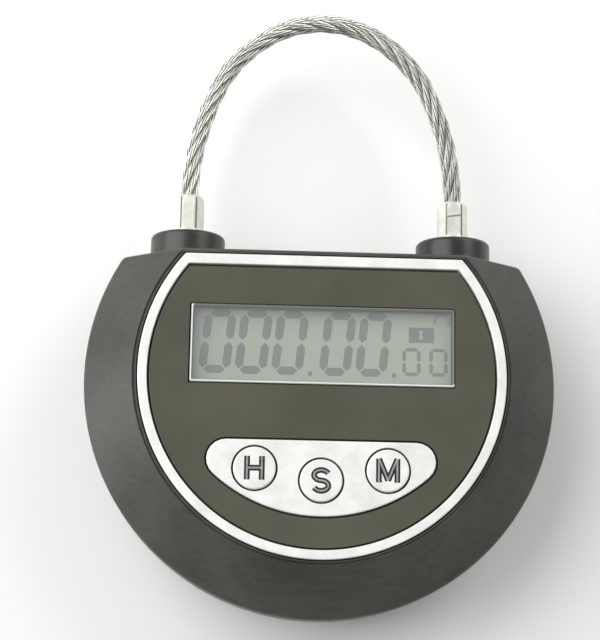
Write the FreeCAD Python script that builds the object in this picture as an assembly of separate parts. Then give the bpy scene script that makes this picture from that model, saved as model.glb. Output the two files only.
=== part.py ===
import FreeCAD, Part
import os
from math import atan2, cos, pi, radians, sin, sqrt, tan

from FreeCAD import Vector

# An electronic timer padlock, in millimetres, lying on its back.
# Origin: centre of the round body on its flat back. +Z leaves the display, +Y points to the shackle.

# ---- driving dimensions ----

# Body. What lies across the body, in X and Y, is laid out on the real radius and follows it.
body_radius = 35.0
body_depth = 25.0
across = body_radius / 35.0
body_top = 18.3 * across        # flat top face, from the body's centre
body_corner = 1.6               # rounding where the flat top meets the round side
side_wall = 2.0
top_wall = 2.5
back_wall = 2.0
back_chamfer = 1.2
rear_draft = 1.0                # taper of the rear housing's round side, over its height
flank_height = 7.0              # conical flank of the front housing
plateau_radius = 27.6 * across
shoulder_cut = 0.5
edge_cut = 0.3
face_thickness = 1.0            # floor under the front panel
panel_pocket_depth = 1.4
tongue_height = 1.2             # tongue of the rear housing inside the front one

# Fits
fit_gap = 0.1                   # between pieces that are assembled and stay put
running_gap = 0.3               # between pieces that pass each other
shaft_gap = 0.06                # radial, around turning shafts
slide_gap = 0.15                # radial, around the release pin in its guide
seat_gap = 0.4                  # between pieces of the lock that stay clear of each other
hole_end_gap = 1.0              # beyond the tip of a screw
root_overlap = 0.5              # depth to which ribs and posts run into a wall

# Trim ring, front panel and button plate
ring_margin = 0.85              # from the ring to the plateau's edge
ring_width = 1.35
ring_proud = 0.3
ring_cut = 0.25
panel_thickness = 1.3
d_corner = 0.7                  # corner rounding of the ring and panel outlines
plate_top = -9.75 * across
plate_bottom = -20.65 * across
plate_bottom_radius = 23.4 * across
plate_corner = 3.0
plate_proud = 0.1

# Display
window_width = 38.6 * across
window_height = 11.65 * across
window_y = 4.3 * across
window_thickness = 1.15
window_corner = 0.25
window_ledge = 0.4
glass_thickness = 1.8
glass_margin = 1.85             # display glass beyond the window, all round
frame_wall = 1.3
frame_height = 2.4              # from the board to the glass
frame_rib = 0.8                 # between a strip's slot and the middle opening
strip_width = 1.5
strip_inset = 0.3

# Buttons and their switches
button_outer_x = 9.57 * across
button_outer_y = -13.9 * across
button_middle_y = -15.5 * across
button_radius = 3.15
button_proud = 0.2
button_head = 1.0
button_cut = 0.2
button_stem_radius = 1.8
button_catch = 0.5              # snap ridge beyond the stem
button_catch_height = 0.6
button_travel = 0.3
switch_side = 4.6
switch_corner = 0.5
plunger_radius = 0.9
plunger_proud = 0.35

# Circuit board
board_thickness = 1.2
board_radius = 26.0 * across
board_top = 14.3 * across
board_screw_x = 21.0 * across
board_screw_side_y = -11.0 * across
board_screw_low_y = -21.8 * across
board_post_radius = 2.0
board_post_roof = 0.8           # left over the screws' holes
board_screw_radius = 0.8
board_screw_head_radius = 1.5
board_screw_head = 0.8
board_screw_length = 4.4
drop_radius = 2.6               # epoxy drop on the controller
drop_top_radius = 1.7
drop_height = 1.1
crystal_length = 5.2
crystal_width = 2.2
crystal_height = 1.6
crystal_x = -10.0 * across
chip_length = 4.9
chip_width = 3.9
chip_height = 1.5
chip_places = [8.0 * across, 14.6 * across]

# Housing screws
screw_side_x = 27.8 * across
screw_side_y = 9.2 * across
screw_low_x = 10.0 * across
screw_low_y = -27.6 * across
screw_boss_radius = 2.6
screw_radius = 0.95
screw_head_radius = 1.75
screw_head_height = 1.2
screw_reach = 5.6               # into the front housing
screw_recess = 2.2              # depth of the head below the back face

# Shackle
shackle_half_span = 20.4 * across
rope_radius = 1.5
rope_sides = 16                 # of the plain rope's section
ferrule_radius = 2.3
ferrule_length = 6.13
ferrule_collar_height = 2.2     # round part below the crimp
ferrule_cut = 0.25
ferrule_bore_gap = 0.02
stud_length = 1.73              # of the pin, inside the ferrule
crimp_across_flats = 4.1
rope_lower_radius = 42.0
rope_lower_turn = 25.0
rope_shoulder_radius = 20.7
rope_shoulder_turn = 36.2
pin_radius = 2.0
pin_chamfer = 0.6
pin_end = 0.6                   # of the anchor pin, beyond its clip
clip_radius = 3.4
clip_thickness = 0.8
clip_groove = 0.5
clip_mouth_inset = 0.2

# Collars
collar_radius = 5.68
collar_height = 4.67
collar_cut = 0.45
collar_bore_cut = 0.2
collar_neck_radius = 4.0
collar_flange_radius = 5.0
collar_flange = 1.0

# Bolt
bolt_below_flange = 2.0         # from the collar's flange to the bolt's middle
bolt_width = 2.4
bolt_thickness = 3.0
bolt_nose_thickness = 5.0
bolt_nose_length = 6.2
bolt_nose_overlap = 0.2
bolt_travel = 4.2
bolt_reach = 1.8                # beyond the release pin's axis when locked
bolt_tail = 7.8                 # from the gear's axis to the bolt's end
neck_radius = 1.1
pin_tip_length = 1.2
guide_half_width = 3.8
guide_half_depth = 3.8
guide_tail = 3.4                # from the bolt's middle to the guide's lower end
guide_chamfer = 0.6

# Gears
gear_module = 0.6
pressure_angle = 25.0
tooth_addendum = 0.8            # in modules
tooth_dedendum = 1.05           # in modules
tooth_backlash = 0.07           # taken off each tooth's thickness
rack_pinion_teeth = 10
wheel_teeth = 24
motor_pinion_teeth = 9
gear_to_pin = 18.4              # from the gear's axis to the release pin
rack_edge = 0.37                # of the bolt, below its nose
wheel_thickness = 1.5
axle_radius = 0.75
axle_proud = 0.7
shaft_proud = 0.5
pinion_proud = 0.3              # of the motor pinion, above the wheel
retainer_radius = 1.6
retainer_thickness = 0.3
motor_radius = 4.0
motor_flat = 0.85               # half width over the flats, as a share of the radius
motor_boss_radius = 1.5
terminal_x = 2.0
terminal_width = 1.6
terminal_thickness = 0.3
terminal_length = 0.3

# Mechanism plate
bracket_thickness = 1.2
bracket_edge = 0.6              # beyond the motor
bracket_tail = 10.9             # from the bolt's middle to the plate's lower edge
bracket_corner = 1.0
rail_width = 0.9
rail_height = 1.6
rail_inset = 1.0
bracket_post_radius = 1.6
bracket_hole_depth = 5.0
bracket_screw_radius = 0.7
bracket_screw_head_radius = 1.4
bracket_screw_head = 0.8
bracket_screw_length = 4.6
bracket_screw_left = 3.1        # from the motor's axis
bracket_screw_right = 7.4       # from the gear's axis
bracket_screw_drop = 3.0        # of the right screw, below the gear's axis
bracket_screw_rise = 0.4        # of the left screw, above the bolt's middle

# Battery compartment: two AAA cells
cell_radius = 5.15 * across
cell_length = 44.3 * across
cell_nub_radius = 1.9
cell_nub_length = 0.8
cell_cut = 0.4
cell_gap = 0.5                  # between the cells
upper_cell_y = -6.9 * across
cell_clearance = 0.3
contact_thickness = 0.4
contact_half = 0.72             # of the contact plates, as a share of the cell's radius
spring_length = 2.8
leaf_thickness = 0.3
leaf_width = 4.0
leaf_half_height = 3.4
bay_wall = 1.0
bay_roof = 0.8
bay_corner = 4.0
cover_thickness = 1.2
cover_plug = 0.8
cover_ledge = 1.4
cover_tab_x = 14.0 * across
cover_tab_half = 3.4
cover_tab_root = 4.6            # of the tab, under the cover
cover_tab_corner = 2.0
cover_tab_top = 2.6             # beyond its screw
cover_screw_rise = 3.4          # from the battery opening to the cover's screw
cover_screw_boss = 2.0
cover_screw_length = 5.0
cover_head_height = 0.7
grip_count = 5
grip_inset = 2.5
grip_pitch = 1.8
grip_depth = 0.4
grip_width = 0.7
grip_length = 9.0

# ---- derived places ----

shoulder_z = body_depth - flank_height
pocket_z = body_depth - panel_pocket_depth
face_z = pocket_z - face_thickness
glass_z = face_z - glass_thickness
plunger_z = glass_z - plunger_proud - fit_gap
board_face_z = glass_z - frame_height
board_z = board_face_z - board_thickness
switch_height = frame_height - 2 * running_gap
wheel_top_z = board_z - running_gap - axle_proud
wheel_z = wheel_top_z - wheel_thickness
bolt_high_z = wheel_z - seat_gap
split_z = bolt_high_z - bolt_thickness / 2      # where the housings meet, also the shackle's plane
panel_z = pocket_z + panel_thickness
inner_radius = body_radius - side_wall
inner_top = body_top - top_wall
ring_outer_radius = plateau_radius - ring_margin
ring_outer_top = body_top - ring_margin
ring_inner_radius = ring_outer_radius - ring_width
ring_inner_top = ring_outer_top - ring_width
glass_half_width = window_width / 2 + glass_margin
glass_low = window_y - window_height / 2 - glass_margin
glass_high = window_y + window_height / 2 + glass_margin
chip_row_y = (glass_low - frame_wall + button_outer_y + switch_side / 2) / 2
screw_length = split_z + screw_reach - screw_recess - screw_head_height
screw_places = [(side * screw_side_x, screw_side_y) for side in (-1, 1)]
screw_places += [(side * screw_low_x, screw_low_y) for side in (-1, 1)]
board_screw_places = [(side * board_screw_x, board_screw_side_y) for side in (-1, 1)]
board_screw_places.append((0.0, board_screw_low_y))
button_places = [(-button_outer_x, button_outer_y), (0.0, button_middle_y), (button_outer_x, button_outer_y)]
button_names = ["hours", "start", "minutes"]
collar_end = body_top + collar_height
ferrule_start = collar_end + running_gap
ferrule_top = ferrule_start + ferrule_length
rope_start = ferrule_start + stud_length
flange_y = inner_top - collar_flange
lower_cell_y = upper_cell_y - 2 * cell_radius - cell_gap
cell_z = back_wall + cell_clearance + cell_radius
bay_ceiling_z = cell_z + cell_radius + cell_clearance
bay_half_length = cell_length / 2 + (cell_nub_length + spring_length) / 2 + contact_thickness
bay_top = upper_cell_y + cell_radius + cell_clearance
bay_bottom = lower_cell_y - cell_radius - cell_clearance
clip_y = bay_top + bay_wall + running_gap + pin_end + clip_thickness
shackle_lift = flange_y - running_gap - clip_y      # until the clip meets the collar's flange
bolt_y = flange_y - bolt_below_flange
bolt_groove_half = bolt_width / 2 + running_gap
bolt_tip_locked = shackle_half_span + bolt_reach
bolt_tip = bolt_tip_locked - bolt_travel
bolt_nose_left = bolt_tip - bolt_nose_length
bolt_low_z = split_z - bolt_thickness / 2
pin_tip_y = bolt_y - bolt_groove_half - pin_tip_length
guide_bottom = bolt_y - guide_tail
rack_pinion_radius = gear_module * rack_pinion_teeth / 2
wheel_radius = gear_module * wheel_teeth / 2
motor_pinion_radius = gear_module * motor_pinion_teeth / 2
rack_root_y = bolt_y - bolt_width / 2 - rack_edge
gear_x = shackle_half_span - gear_to_pin
gear_y = rack_root_y - tooth_dedendum * gear_module - rack_pinion_radius
motor_x = gear_x - wheel_radius - motor_pinion_radius
bolt_left = gear_x - bolt_tail
bracket_top_z = bolt_low_z - running_gap
bracket_z = bracket_top_z - bracket_thickness
bracket_left = motor_x - motor_radius - bracket_edge
bracket_right = bolt_nose_left - seat_gap
bracket_bottom = bolt_y - bracket_tail
bracket_screw_places = [
    (motor_x - bracket_screw_left, bolt_y + bracket_screw_rise),
    (gear_x + bracket_screw_right, gear_y - bracket_screw_drop),
]
motor_length = bracket_z - back_wall - seat_gap
cover_screw_y = bay_top + cover_screw_rise
cover_tip_z = cover_head_height + cover_screw_length + hole_end_gap + root_overlap

along_x = Vector(1, 0, 0)
along_y = Vector(0, 1, 0)
along_z = Vector(0, 0, 1)


# ---- shapes used many times ----

def flat(u, v):
    """Place of an outline point in the XY plane."""
    return Vector(u, v, 0)


def upright(u, v):
    """Place of an outline point in the XZ plane."""
    return Vector(u, 0, v)


def rounded_face(corners, place=flat):
    """Face inside the corners (u, v, radius), each rounded by a tangent arc; radius 0 stays sharp."""
    starts = []
    arcs = []
    ends = []
    for index, (u, v, radius) in enumerate(corners):
        here = Vector(u, v, 0)
        before = (Vector(*corners[index - 1][:2], 0) - here).normalize()
        after = (Vector(*corners[(index + 1) % len(corners)][:2], 0) - here).normalize()
        half = before.getAngle(after) / 2
        start = here + before * (radius / tan(half))
        end = here + after * (radius / tan(half))
        starts.append(place(start.x, start.y))
        ends.append(place(end.x, end.y))
        if radius > 0:
            middle = here + (before + after).normalize() * (radius / sin(half) - radius)
            arcs.append(Part.Arc(starts[-1], place(middle.x, middle.y), ends[-1]).toShape())
        else:
            arcs.append(None)
    edges = []
    for index, arc in enumerate(arcs):
        if arc:
            edges.append(arc)
        following = starts[(index + 1) % len(starts)]
        if ends[index].distanceToPoint(following) > 1e-6:
            edges.append(Part.makeLine(ends[index], following))
    return Part.Face(Part.Wire(edges))


def chamfered_face(corners, place=flat):
    """Face inside the corners (u, v, cut), each cut straight at that distance; cut 0 stays sharp."""
    points = []
    for index, (u, v, cut) in enumerate(corners):
        here = Vector(u, v, 0)
        before = (Vector(*corners[index - 1][:2], 0) - here).normalize()
        after = (Vector(*corners[(index + 1) % len(corners)][:2], 0) - here).normalize()
        ends = [here + before * cut, here + after * cut] if cut > 0 else [here]
        points += [place(end.x, end.y) for end in ends]
    return Part.Face(Part.makePolygon(points + points[:1]))


def plate(face, low, high):
    """Solid between two heights over a face drawn in the XY plane."""
    return face.translated(Vector(0, 0, low)).extrude(Vector(0, 0, high - low))


def block(x_low, x_high, y_low, y_high, z_low, z_high):
    """Box between its lowest and highest corners."""
    return Part.makeBox(x_high - x_low, y_high - y_low, z_high - z_low, Vector(x_low, y_low, z_low))


def rod(radius, x, y, low, high):
    """Upright cylinder between two heights."""
    return Part.makeCylinder(radius, high - low, Vector(x, y, low), along_z)


def pin_along_y(radius, x, low, high):
    """Cylinder along Y in the shackle's plane."""
    return Part.makeCylinder(radius, high - low, Vector(x, low, split_z), along_y)


def joined(shapes):
    """One solid from shapes that touch or overlap."""
    return shapes[0].multiFuse(shapes[1:]).removeSplitter()


def d_face(radius, top, corner=d_corner, centre_y=0.0):
    """Disc cut by a flat top, the two corners rounded; top is measured from the disc's centre."""
    corner_y = top - corner
    corner_x = sqrt((radius - corner) ** 2 - corner_y ** 2)
    stretch = radius / (radius - corner)
    slant = Vector(corner_x, corner_y, 0).normalize()
    lean = (slant + along_y).normalize()
    points = [
        Vector(corner_x * stretch, corner_y * stretch, 0),
        Vector(corner_x, corner_y, 0) + lean * corner,
        Vector(corner_x, top, 0),
    ]
    mirrored = [Vector(-point.x, point.y, 0) for point in points]
    edges = [
        Part.Arc(points[0], points[1], points[2]).toShape(),
        Part.makeLine(points[2], mirrored[2]),
        Part.Arc(mirrored[2], mirrored[1], mirrored[0]).toShape(),
        Part.Arc(mirrored[0], Vector(0, -radius, 0), points[0]).toShape(),
    ]
    return Part.Face(Part.Wire(edges)).translated(Vector(0, centre_y, 0))


def rounded_rectangle(x_low, x_high, y_low, y_high, corner):
    """Rectangle with four equal rounded corners."""
    places = [(x_low, y_low), (x_high, y_low), (x_high, y_high), (x_low, y_high)]
    return rounded_face([(x, y, corner) for x, y in places])


def screw(x, y, head_low, length, radius, head_radius, head_height):
    """Cross-head screw pointing up, its head at the bottom."""
    head = rod(head_radius, x, y, head_low, head_low + head_height)
    head = head.makeChamfer(head_height * 0.3, [edge_at(head, head_low)])
    shank = rod(radius, x, y, head_low + head_height, head_low + head_height + length)
    body = joined([head, shank])
    arm = head_radius * 0.6
    slot = head_radius * 0.14
    cross = block(x - arm, x + arm, y - slot, y + slot, head_low, head_low + head_height / 2)
    cross = cross.fuse(block(x - slot, x + slot, y - arm, y + arm, head_low, head_low + head_height / 2))
    return body.cut(cross)


def edge_at(solid, height):
    """The closed round edge of a solid at a height."""
    for edge in solid.Edges:
        box = edge.BoundBox
        if abs(box.ZMin - height) < 1e-6 and abs(box.ZMax - height) < 1e-6:
            return edge
    return None


# ---- housings ----

def front_outer():
    """Outside of the front housing: conical flank, plateau and flat top, edges broken."""
    profile = chamfered_face([
        (0.0, split_z, 0),
        (body_radius, split_z, 0),
        (body_radius, shoulder_z, shoulder_cut),
        (plateau_radius, body_depth, edge_cut),
        (0.0, body_depth, 0),
    ], upright)
    turned = profile.revolve(Vector(0, 0, 0), along_z, 360)
    outline = plate(d_face(body_radius, body_top, body_corner), split_z, body_depth)
    return turned.common(outline)


def front_cavity():
    """Room inside the front housing, up to the floor under the panel."""
    slope = (body_radius - plateau_radius) / (body_depth - shoulder_z)
    wall_across = side_wall * sqrt(1 + slope ** 2)
    cone_start = shoulder_z - (wall_across - side_wall) / slope
    cone_end = inner_radius - (face_z - cone_start) * slope
    profile = chamfered_face([
        (0.0, split_z, 0),
        (inner_radius, split_z, 0),
        (inner_radius, cone_start, 0),
        (cone_end, face_z, 0),
        (0.0, face_z, 0),
    ], upright)
    turned = profile.revolve(Vector(0, 0, 0), along_z, 360)
    return turned.common(plate(d_face(inner_radius, inner_top), split_z, face_z))


def collar_seats(radius):
    """The two round notches that clamp the collar necks."""
    return [pin_along_y(radius, side * shackle_half_span, flange_y, collar_end) for side in (-1, 1)]


def front_housing():
    outer = front_outer()
    shell = outer.cut(front_cavity())
    supports = [rod(screw_boss_radius, x, y, split_z, face_z) for x, y in screw_places]
    supports += [rod(board_post_radius, x, y, board_face_z, face_z) for x, y in board_screw_places]
    shell = joined([shell] + [support.common(outer) for support in supports])
    cuts = collar_seats(collar_neck_radius + fit_gap)
    cuts.append(plate(d_face(ring_outer_radius + fit_gap, ring_outer_top + fit_gap), pocket_z, body_depth))
    window_half = window_width / 2 - window_ledge
    window_low = window_y - window_height / 2 + window_ledge
    window_high = window_y + window_height / 2 - window_ledge
    cuts.append(block(-window_half, window_half, window_low, window_high, face_z, pocket_z))
    cuts += [rod(button_stem_radius + running_gap, x, y, face_z, pocket_z) for x, y in button_places]
    screw_hole_end = split_z + screw_reach + hole_end_gap
    cuts += [rod(screw_radius, x, y, split_z, screw_hole_end) for x, y in screw_places]
    post_hole_end = face_z - board_post_roof
    cuts += [rod(board_screw_radius, x, y, board_face_z, post_hole_end) for x, y in board_screw_places]
    rebate = d_face(inner_radius + side_wall / 2 + fit_gap, inner_top + side_wall / 2 + fit_gap)
    cuts.append(plate(rebate, split_z, split_z + tongue_height + fit_gap))
    return shell.cut(Part.makeCompound(cuts))


def bay_outline(margin, x_margin=None):
    """Battery opening seen from the back, smaller by the margins."""
    x_margin = margin if x_margin is None else x_margin
    half = bay_half_length - x_margin
    return rounded_rectangle(-half, half, bay_bottom + margin, bay_top - margin, bay_corner - margin)


def cover_tab(margin):
    """Outline of the battery cover's screw tab, smaller by the margin."""
    left = cover_tab_x - cover_tab_half + margin
    right = cover_tab_x + cover_tab_half - margin
    high = cover_screw_y + cover_tab_top - margin
    return rounded_rectangle(left, right, bay_top - cover_tab_root, high, cover_tab_corner - margin)


def rear_outer():
    """Outside of the rear housing: its round side tapers to the back, whose edge is cut."""
    chamfer_draft = rear_draft * (1 - back_chamfer / split_z)
    levels = [
        (0.0, rear_draft + back_chamfer, back_chamfer),
        (back_chamfer, chamfer_draft, 0.0),
        (split_z, 0.0, 0.0),
    ]
    outlines = []
    for height, inset, top_inset in levels:
        outline = d_face(body_radius - inset, body_top - top_inset, body_corner).OuterWire
        outlines.append(outline.translated(Vector(0, 0, height)))
    return Part.makeLoft(outlines, True, True)


def rear_housing():
    outer = rear_outer()
    cavity = plate(d_face(inner_radius, inner_top), back_wall, split_z)
    shell = outer.cut(cavity)
    room = plate(d_face(inner_radius, inner_top), back_wall, bay_ceiling_z + bay_roof)
    root_z = back_wall - root_overlap
    supports = [rod(screw_boss_radius, x, y, root_z, split_z) for x, y in screw_places]
    supports += [rod(bracket_post_radius, x, y, root_z, bracket_z) for x, y in bracket_screw_places]
    supports.append(rod(cover_screw_boss, cover_tab_x, cover_screw_y, root_z, cover_tip_z))
    guide_left = shackle_half_span - guide_half_width
    guide_right = shackle_half_span + guide_half_width
    guide_low = split_z - guide_half_depth
    supports.append(block(guide_left, guide_right, guide_bottom, flange_y - fit_gap, root_z, guide_low))
    half = bay_half_length + bay_wall
    low = bay_bottom - bay_wall
    high = bay_top + bay_wall
    supports.append(block(-half, half, low, high, back_wall, bay_ceiling_z + bay_roof).common(room))
    tongue_outer = d_face(inner_radius + side_wall / 2, inner_top + side_wall / 2)
    tongue = plate(tongue_outer, split_z, split_z + tongue_height)
    tongue = tongue.cut(plate(d_face(inner_radius, inner_top), split_z, split_z + tongue_height))
    shell = joined([shell, tongue] + supports)
    inner_bay = block(-bay_half_length, bay_half_length, bay_bottom, bay_top, back_wall, bay_ceiling_z)
    cuts = [inner_bay.common(room)]
    cuts.append(plate(bay_outline(0).fuse(cover_tab(0)), 0, cover_thickness))
    cuts.append(plate(bay_outline(0, cover_ledge), cover_thickness, back_wall))
    cuts += collar_seats(collar_neck_radius + fit_gap)
    for x, y in screw_places:
        cuts.append(rod(screw_head_radius + fit_gap, x, y, 0, screw_recess + screw_head_height))
        cuts.append(rod(screw_radius + fit_gap, x, y, 0, split_z))
    hole_low = bracket_z - bracket_hole_depth
    cuts += [rod(bracket_screw_radius, x, y, hole_low, bracket_z) for x, y in bracket_screw_places]
    cuts.append(rod(screw_radius + fit_gap, cover_tab_x, cover_screw_y, 0, cover_tip_z - hole_end_gap))
    return shell.cut(Part.makeCompound(cuts))


# ---- face: ring, panel, window, button plate, buttons ----

def trim_ring():
    outer = plate(d_face(ring_outer_radius, ring_outer_top), pocket_z, body_depth + ring_proud)
    outer = outer.cut(plate(d_face(ring_inner_radius, ring_inner_top), pocket_z, body_depth + ring_proud))
    top_edges = [edge for edge in outer.Edges if edge.BoundBox.ZMin > body_depth + ring_proud - 1e-6]
    return outer.makeChamfer(ring_cut, top_edges)


def plate_outline(margin):
    """Outline of the button plate, larger by the margin."""
    centre_y = plate_bottom + plate_bottom_radius
    radius = plate_bottom_radius + margin
    return d_face(radius, plate_top - centre_y + margin, plate_corner + margin, centre_y)


def window_outline(margin):
    """Outline of the display window, smaller by the margin."""
    half = window_width / 2 - margin
    low = window_y - window_height / 2 + margin
    high = window_y + window_height / 2 - margin
    return rounded_rectangle(-half, half, low, high, window_corner)


def front_panel():
    sheet = plate(d_face(ring_inner_radius - fit_gap, ring_inner_top - fit_gap), pocket_z, panel_z)
    sheet = sheet.cut(plate(window_outline(0), pocket_z, panel_z))
    return sheet.cut(plate(plate_outline(fit_gap / 2), pocket_z, panel_z))


def display_window():
    return plate(window_outline(fit_gap / 2), pocket_z, pocket_z + window_thickness)


def button_plate():
    top = body_depth + plate_proud
    body = plate(plate_outline(0), pocket_z, top)
    body = body.makeChamfer(plate_proud, [edge for edge in body.Edges if edge.BoundBox.ZMin > top - 1e-6])
    holes = [rod(button_radius + running_gap, x, y, pocket_z, top) for x, y in button_places]
    return body.cut(Part.makeCompound(holes))


def button_cap(x, y):
    """Round key cap: flat head, stem through the floor, snap ridge under it."""
    top = body_depth + button_proud
    head_low = top - button_head
    stem_low = plunger_z + plunger_proud
    catch_top = face_z - running_gap
    catch_low = catch_top - button_catch_height
    profile = chamfered_face([
        (0.0, stem_low, 0),
        (button_stem_radius, stem_low, 0),
        (button_stem_radius, catch_low - button_catch, 0),
        (button_stem_radius + button_catch, catch_low, 0),
        (button_stem_radius + button_catch, catch_top, 0),
        (button_stem_radius, catch_top, 0),
        (button_stem_radius, head_low, 0),
        (button_radius, head_low, 0),
        (button_radius, top, button_cut),
        (0.0, top, 0),
    ], upright)
    return profile.revolve(Vector(0, 0, 0), along_z, 360).translated(Vector(x, y, 0))


def switch_bodies():
    half = switch_side / 2
    bodies = []
    for x, y in button_places:
        body = block(x - half, x + half, y - half, y + half, board_face_z, board_face_z + switch_height)
        corners = [edge for edge in body.Edges if edge.BoundBox.ZLength > switch_height / 2]
        body = body.makeChamfer(switch_corner, corners)
        well_low = board_face_z + switch_height / 2 - running_gap
        well = rod(plunger_radius + running_gap, x, y, well_low, board_face_z + switch_height)
        bodies.append(body.cut(well))
    return Part.makeCompound(bodies)


def switch_plunger(x, y):
    low = board_face_z + switch_height / 2 + button_travel
    return rod(plunger_radius, x, y, low, plunger_z + plunger_proud)


# ---- display and circuit board ----

def lcd_glass():
    """The display's glass, wider than its window by the rows of contacts."""
    return block(-glass_half_width, glass_half_width, glass_low, glass_high, glass_z, face_z)


def strip_rows():
    """Lowest and highest Y of each conductive strip."""
    low = glass_low + strip_inset
    high = glass_high - strip_inset
    return [(low, low + strip_width), (high - strip_width, high)]


def zebra_strips():
    half = window_width / 2
    strips = [block(-half, half, low, high, board_face_z, glass_z) for low, high in strip_rows()]
    return Part.makeCompound(strips)


def lcd_frame():
    """Frame between board and face: a seat for the glass, two slots for the strips, an open middle."""
    half = glass_half_width + frame_wall
    corners = frame_wall / 2
    outline = rounded_rectangle(-half, half, glass_low - frame_wall, glass_high + frame_wall, corners)
    body = plate(outline, board_face_z, face_z)
    seat = glass_half_width + fit_gap
    cuts = [block(-seat, seat, glass_low - fit_gap, glass_high + fit_gap, glass_z, face_z)]
    rows = strip_rows()
    strip_half = window_width / 2 + fit_gap
    for row_low, row_high in rows:
        slot_low = row_low - fit_gap
        slot_high = row_high + fit_gap
        cuts.append(block(-strip_half, strip_half, slot_low, slot_high, board_face_z, glass_z))
    middle_low = rows[0][1] + frame_rib
    middle_high = rows[1][0] - frame_rib
    cuts.append(block(-strip_half, strip_half, middle_low, middle_high, board_face_z, glass_z))
    return body.cut(Part.makeCompound(cuts))


def circuit_board():
    board = plate(d_face(board_radius, board_top), board_z, board_face_z)
    holes = [rod(board_screw_radius + fit_gap, x, y, board_z, board_face_z) for x, y in board_screw_places]
    return board.cut(Part.makeCompound(holes))


def board_chips():
    """Controller under its epoxy drop, a crystal and two driver chips, between display and keys."""
    drop_place = Vector(0, chip_row_y, board_face_z)
    drop = Part.makeCone(drop_radius, drop_top_radius, drop_height, drop_place, along_z)
    crystal_low = chip_row_y - crystal_width / 2
    crystal_high = chip_row_y + crystal_width / 2
    crystal_right = crystal_x + crystal_length
    outline = rounded_rectangle(crystal_x, crystal_right, crystal_low, crystal_high, crystal_width * 0.45)
    crystal = plate(outline, board_face_z, board_face_z + crystal_height)
    low = chip_row_y - chip_width / 2
    high = chip_row_y + chip_width / 2
    chips = [
        block(x - chip_length / 2, x + chip_length / 2, low, high, board_face_z, board_face_z + chip_height)
        for x in chip_places
    ]
    return Part.makeCompound([drop, crystal] + chips)


def board_screws():
    head = (board_screw_head_radius, board_screw_head)
    low = board_z - board_screw_head
    screws = [
        screw(x, y, low, board_screw_length, board_screw_radius, *head)
        for x, y in board_screw_places
    ]
    return Part.makeCompound(screws)


def housing_screws():
    screws = [
        screw(x, y, screw_recess, screw_length, screw_radius, screw_head_radius, screw_head_height)
        for x, y in screw_places
    ]
    return Part.makeCompound(screws)


# ---- shackle ----

def collar(side):
    """Black collar: visible drum, neck through the flat top, flange inside."""
    profile = chamfered_face([
        (pin_radius + running_gap, flange_y, 0),
        (collar_flange_radius, flange_y, 0),
        (collar_flange_radius, inner_top, 0),
        (collar_neck_radius, inner_top, 0),
        (collar_neck_radius, body_top, 0),
        (collar_radius, body_top, 0),
        (collar_radius, collar_end, collar_cut),
        (pin_radius + running_gap, collar_end, collar_bore_cut),
    ])
    turned = profile.revolve(Vector(0, 0, 0), along_y, 360)
    return turned.translated(Vector(side * shackle_half_span, 0, split_z))


def rope_path():
    """Centre line of the rope: two straight ends, two arcs a side and the crown arc."""
    lower = radians(rope_lower_turn)
    shoulder = radians(rope_shoulder_turn)
    points = [Vector(shackle_half_span, rope_start, split_z), Vector(shackle_half_span, ferrule_top, split_z)]
    edges = [Part.makeLine(points[0], points[1])]
    place = points[1]
    heading = 0.0
    for radius, turn in ((rope_lower_radius, lower), (rope_shoulder_radius, shoulder)):
        centre = place - Vector(cos(heading), sin(heading), 0) * radius
        middle = centre + Vector(cos(heading + turn / 2), sin(heading + turn / 2), 0) * radius
        end = centre + Vector(cos(heading + turn), sin(heading + turn), 0) * radius
        edges.append(Part.Arc(place, middle, end).toShape())
        place = end
        heading += turn
    crown_radius = place.x / cos(heading)
    crown = Vector(0, place.y - crown_radius * sin(heading) + crown_radius, split_z)
    mirrored = [edge.mirror(Vector(0, 0, 0), along_x) for edge in reversed(edges)]
    edges.append(Part.Arc(place, crown, Vector(-place.x, place.y, split_z)).toShape())
    print("rope crown radius %.2f, crown at y %.2f" % (crown_radius, crown.y))
    return Part.Wire(Part.__sortEdges__(edges + mirrored))


def shackle_cable():
    path = rope_path()
    corners = []
    for step in range(rope_sides + 1):
        angle = 2 * pi * step / rope_sides
        corner = Vector(rope_radius * cos(angle), 0, rope_radius * sin(angle))
        corners.append(corner + Vector(shackle_half_span, rope_start, split_z))
    rope = path.makePipeShell([Part.makePolygon(corners)], True, True)
    expected = rope_sides / 2 * sin(2 * pi / rope_sides) * rope_radius ** 2 * path.Length
    print("rope length %.2f, volume over section times length %.4f" % (path.Length, rope.Volume / expected))
    return rope


def ferrule(side):
    """Sleeve with a round foot and a six-sided crimp, bored for the rope and the pin's stud."""
    profile = chamfered_face([
        (0.0, ferrule_start, 0),
        (ferrule_radius, ferrule_start, ferrule_cut),
        (ferrule_radius, ferrule_top, ferrule_cut),
        (0.0, ferrule_top, 0),
    ])
    body = profile.revolve(Vector(0, 0, 0), along_y, 360)
    foot = Part.makeCylinder(ferrule_radius + 1, ferrule_collar_height, Vector(0, ferrule_start, 0), along_y)
    crimp_low = ferrule_start + ferrule_collar_height
    corner = crimp_across_flats / 2 / cos(pi / 6)
    angles = [(k + 0.5) * pi / 3 for k in range(7)]
    corners = [Vector(corner * sin(angle), crimp_low, corner * cos(angle)) for angle in angles]
    crimp = Part.Face(Part.makePolygon(corners)).extrude(Vector(0, ferrule_length - ferrule_collar_height, 0))
    body = body.common(foot.fuse(crimp))
    bore_radius = rope_radius + ferrule_bore_gap
    bore = Part.makeCylinder(bore_radius, ferrule_length, Vector(0, ferrule_start, 0), along_y)
    return body.cut(bore).translated(Vector(side * shackle_half_span, 0, split_z))


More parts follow.
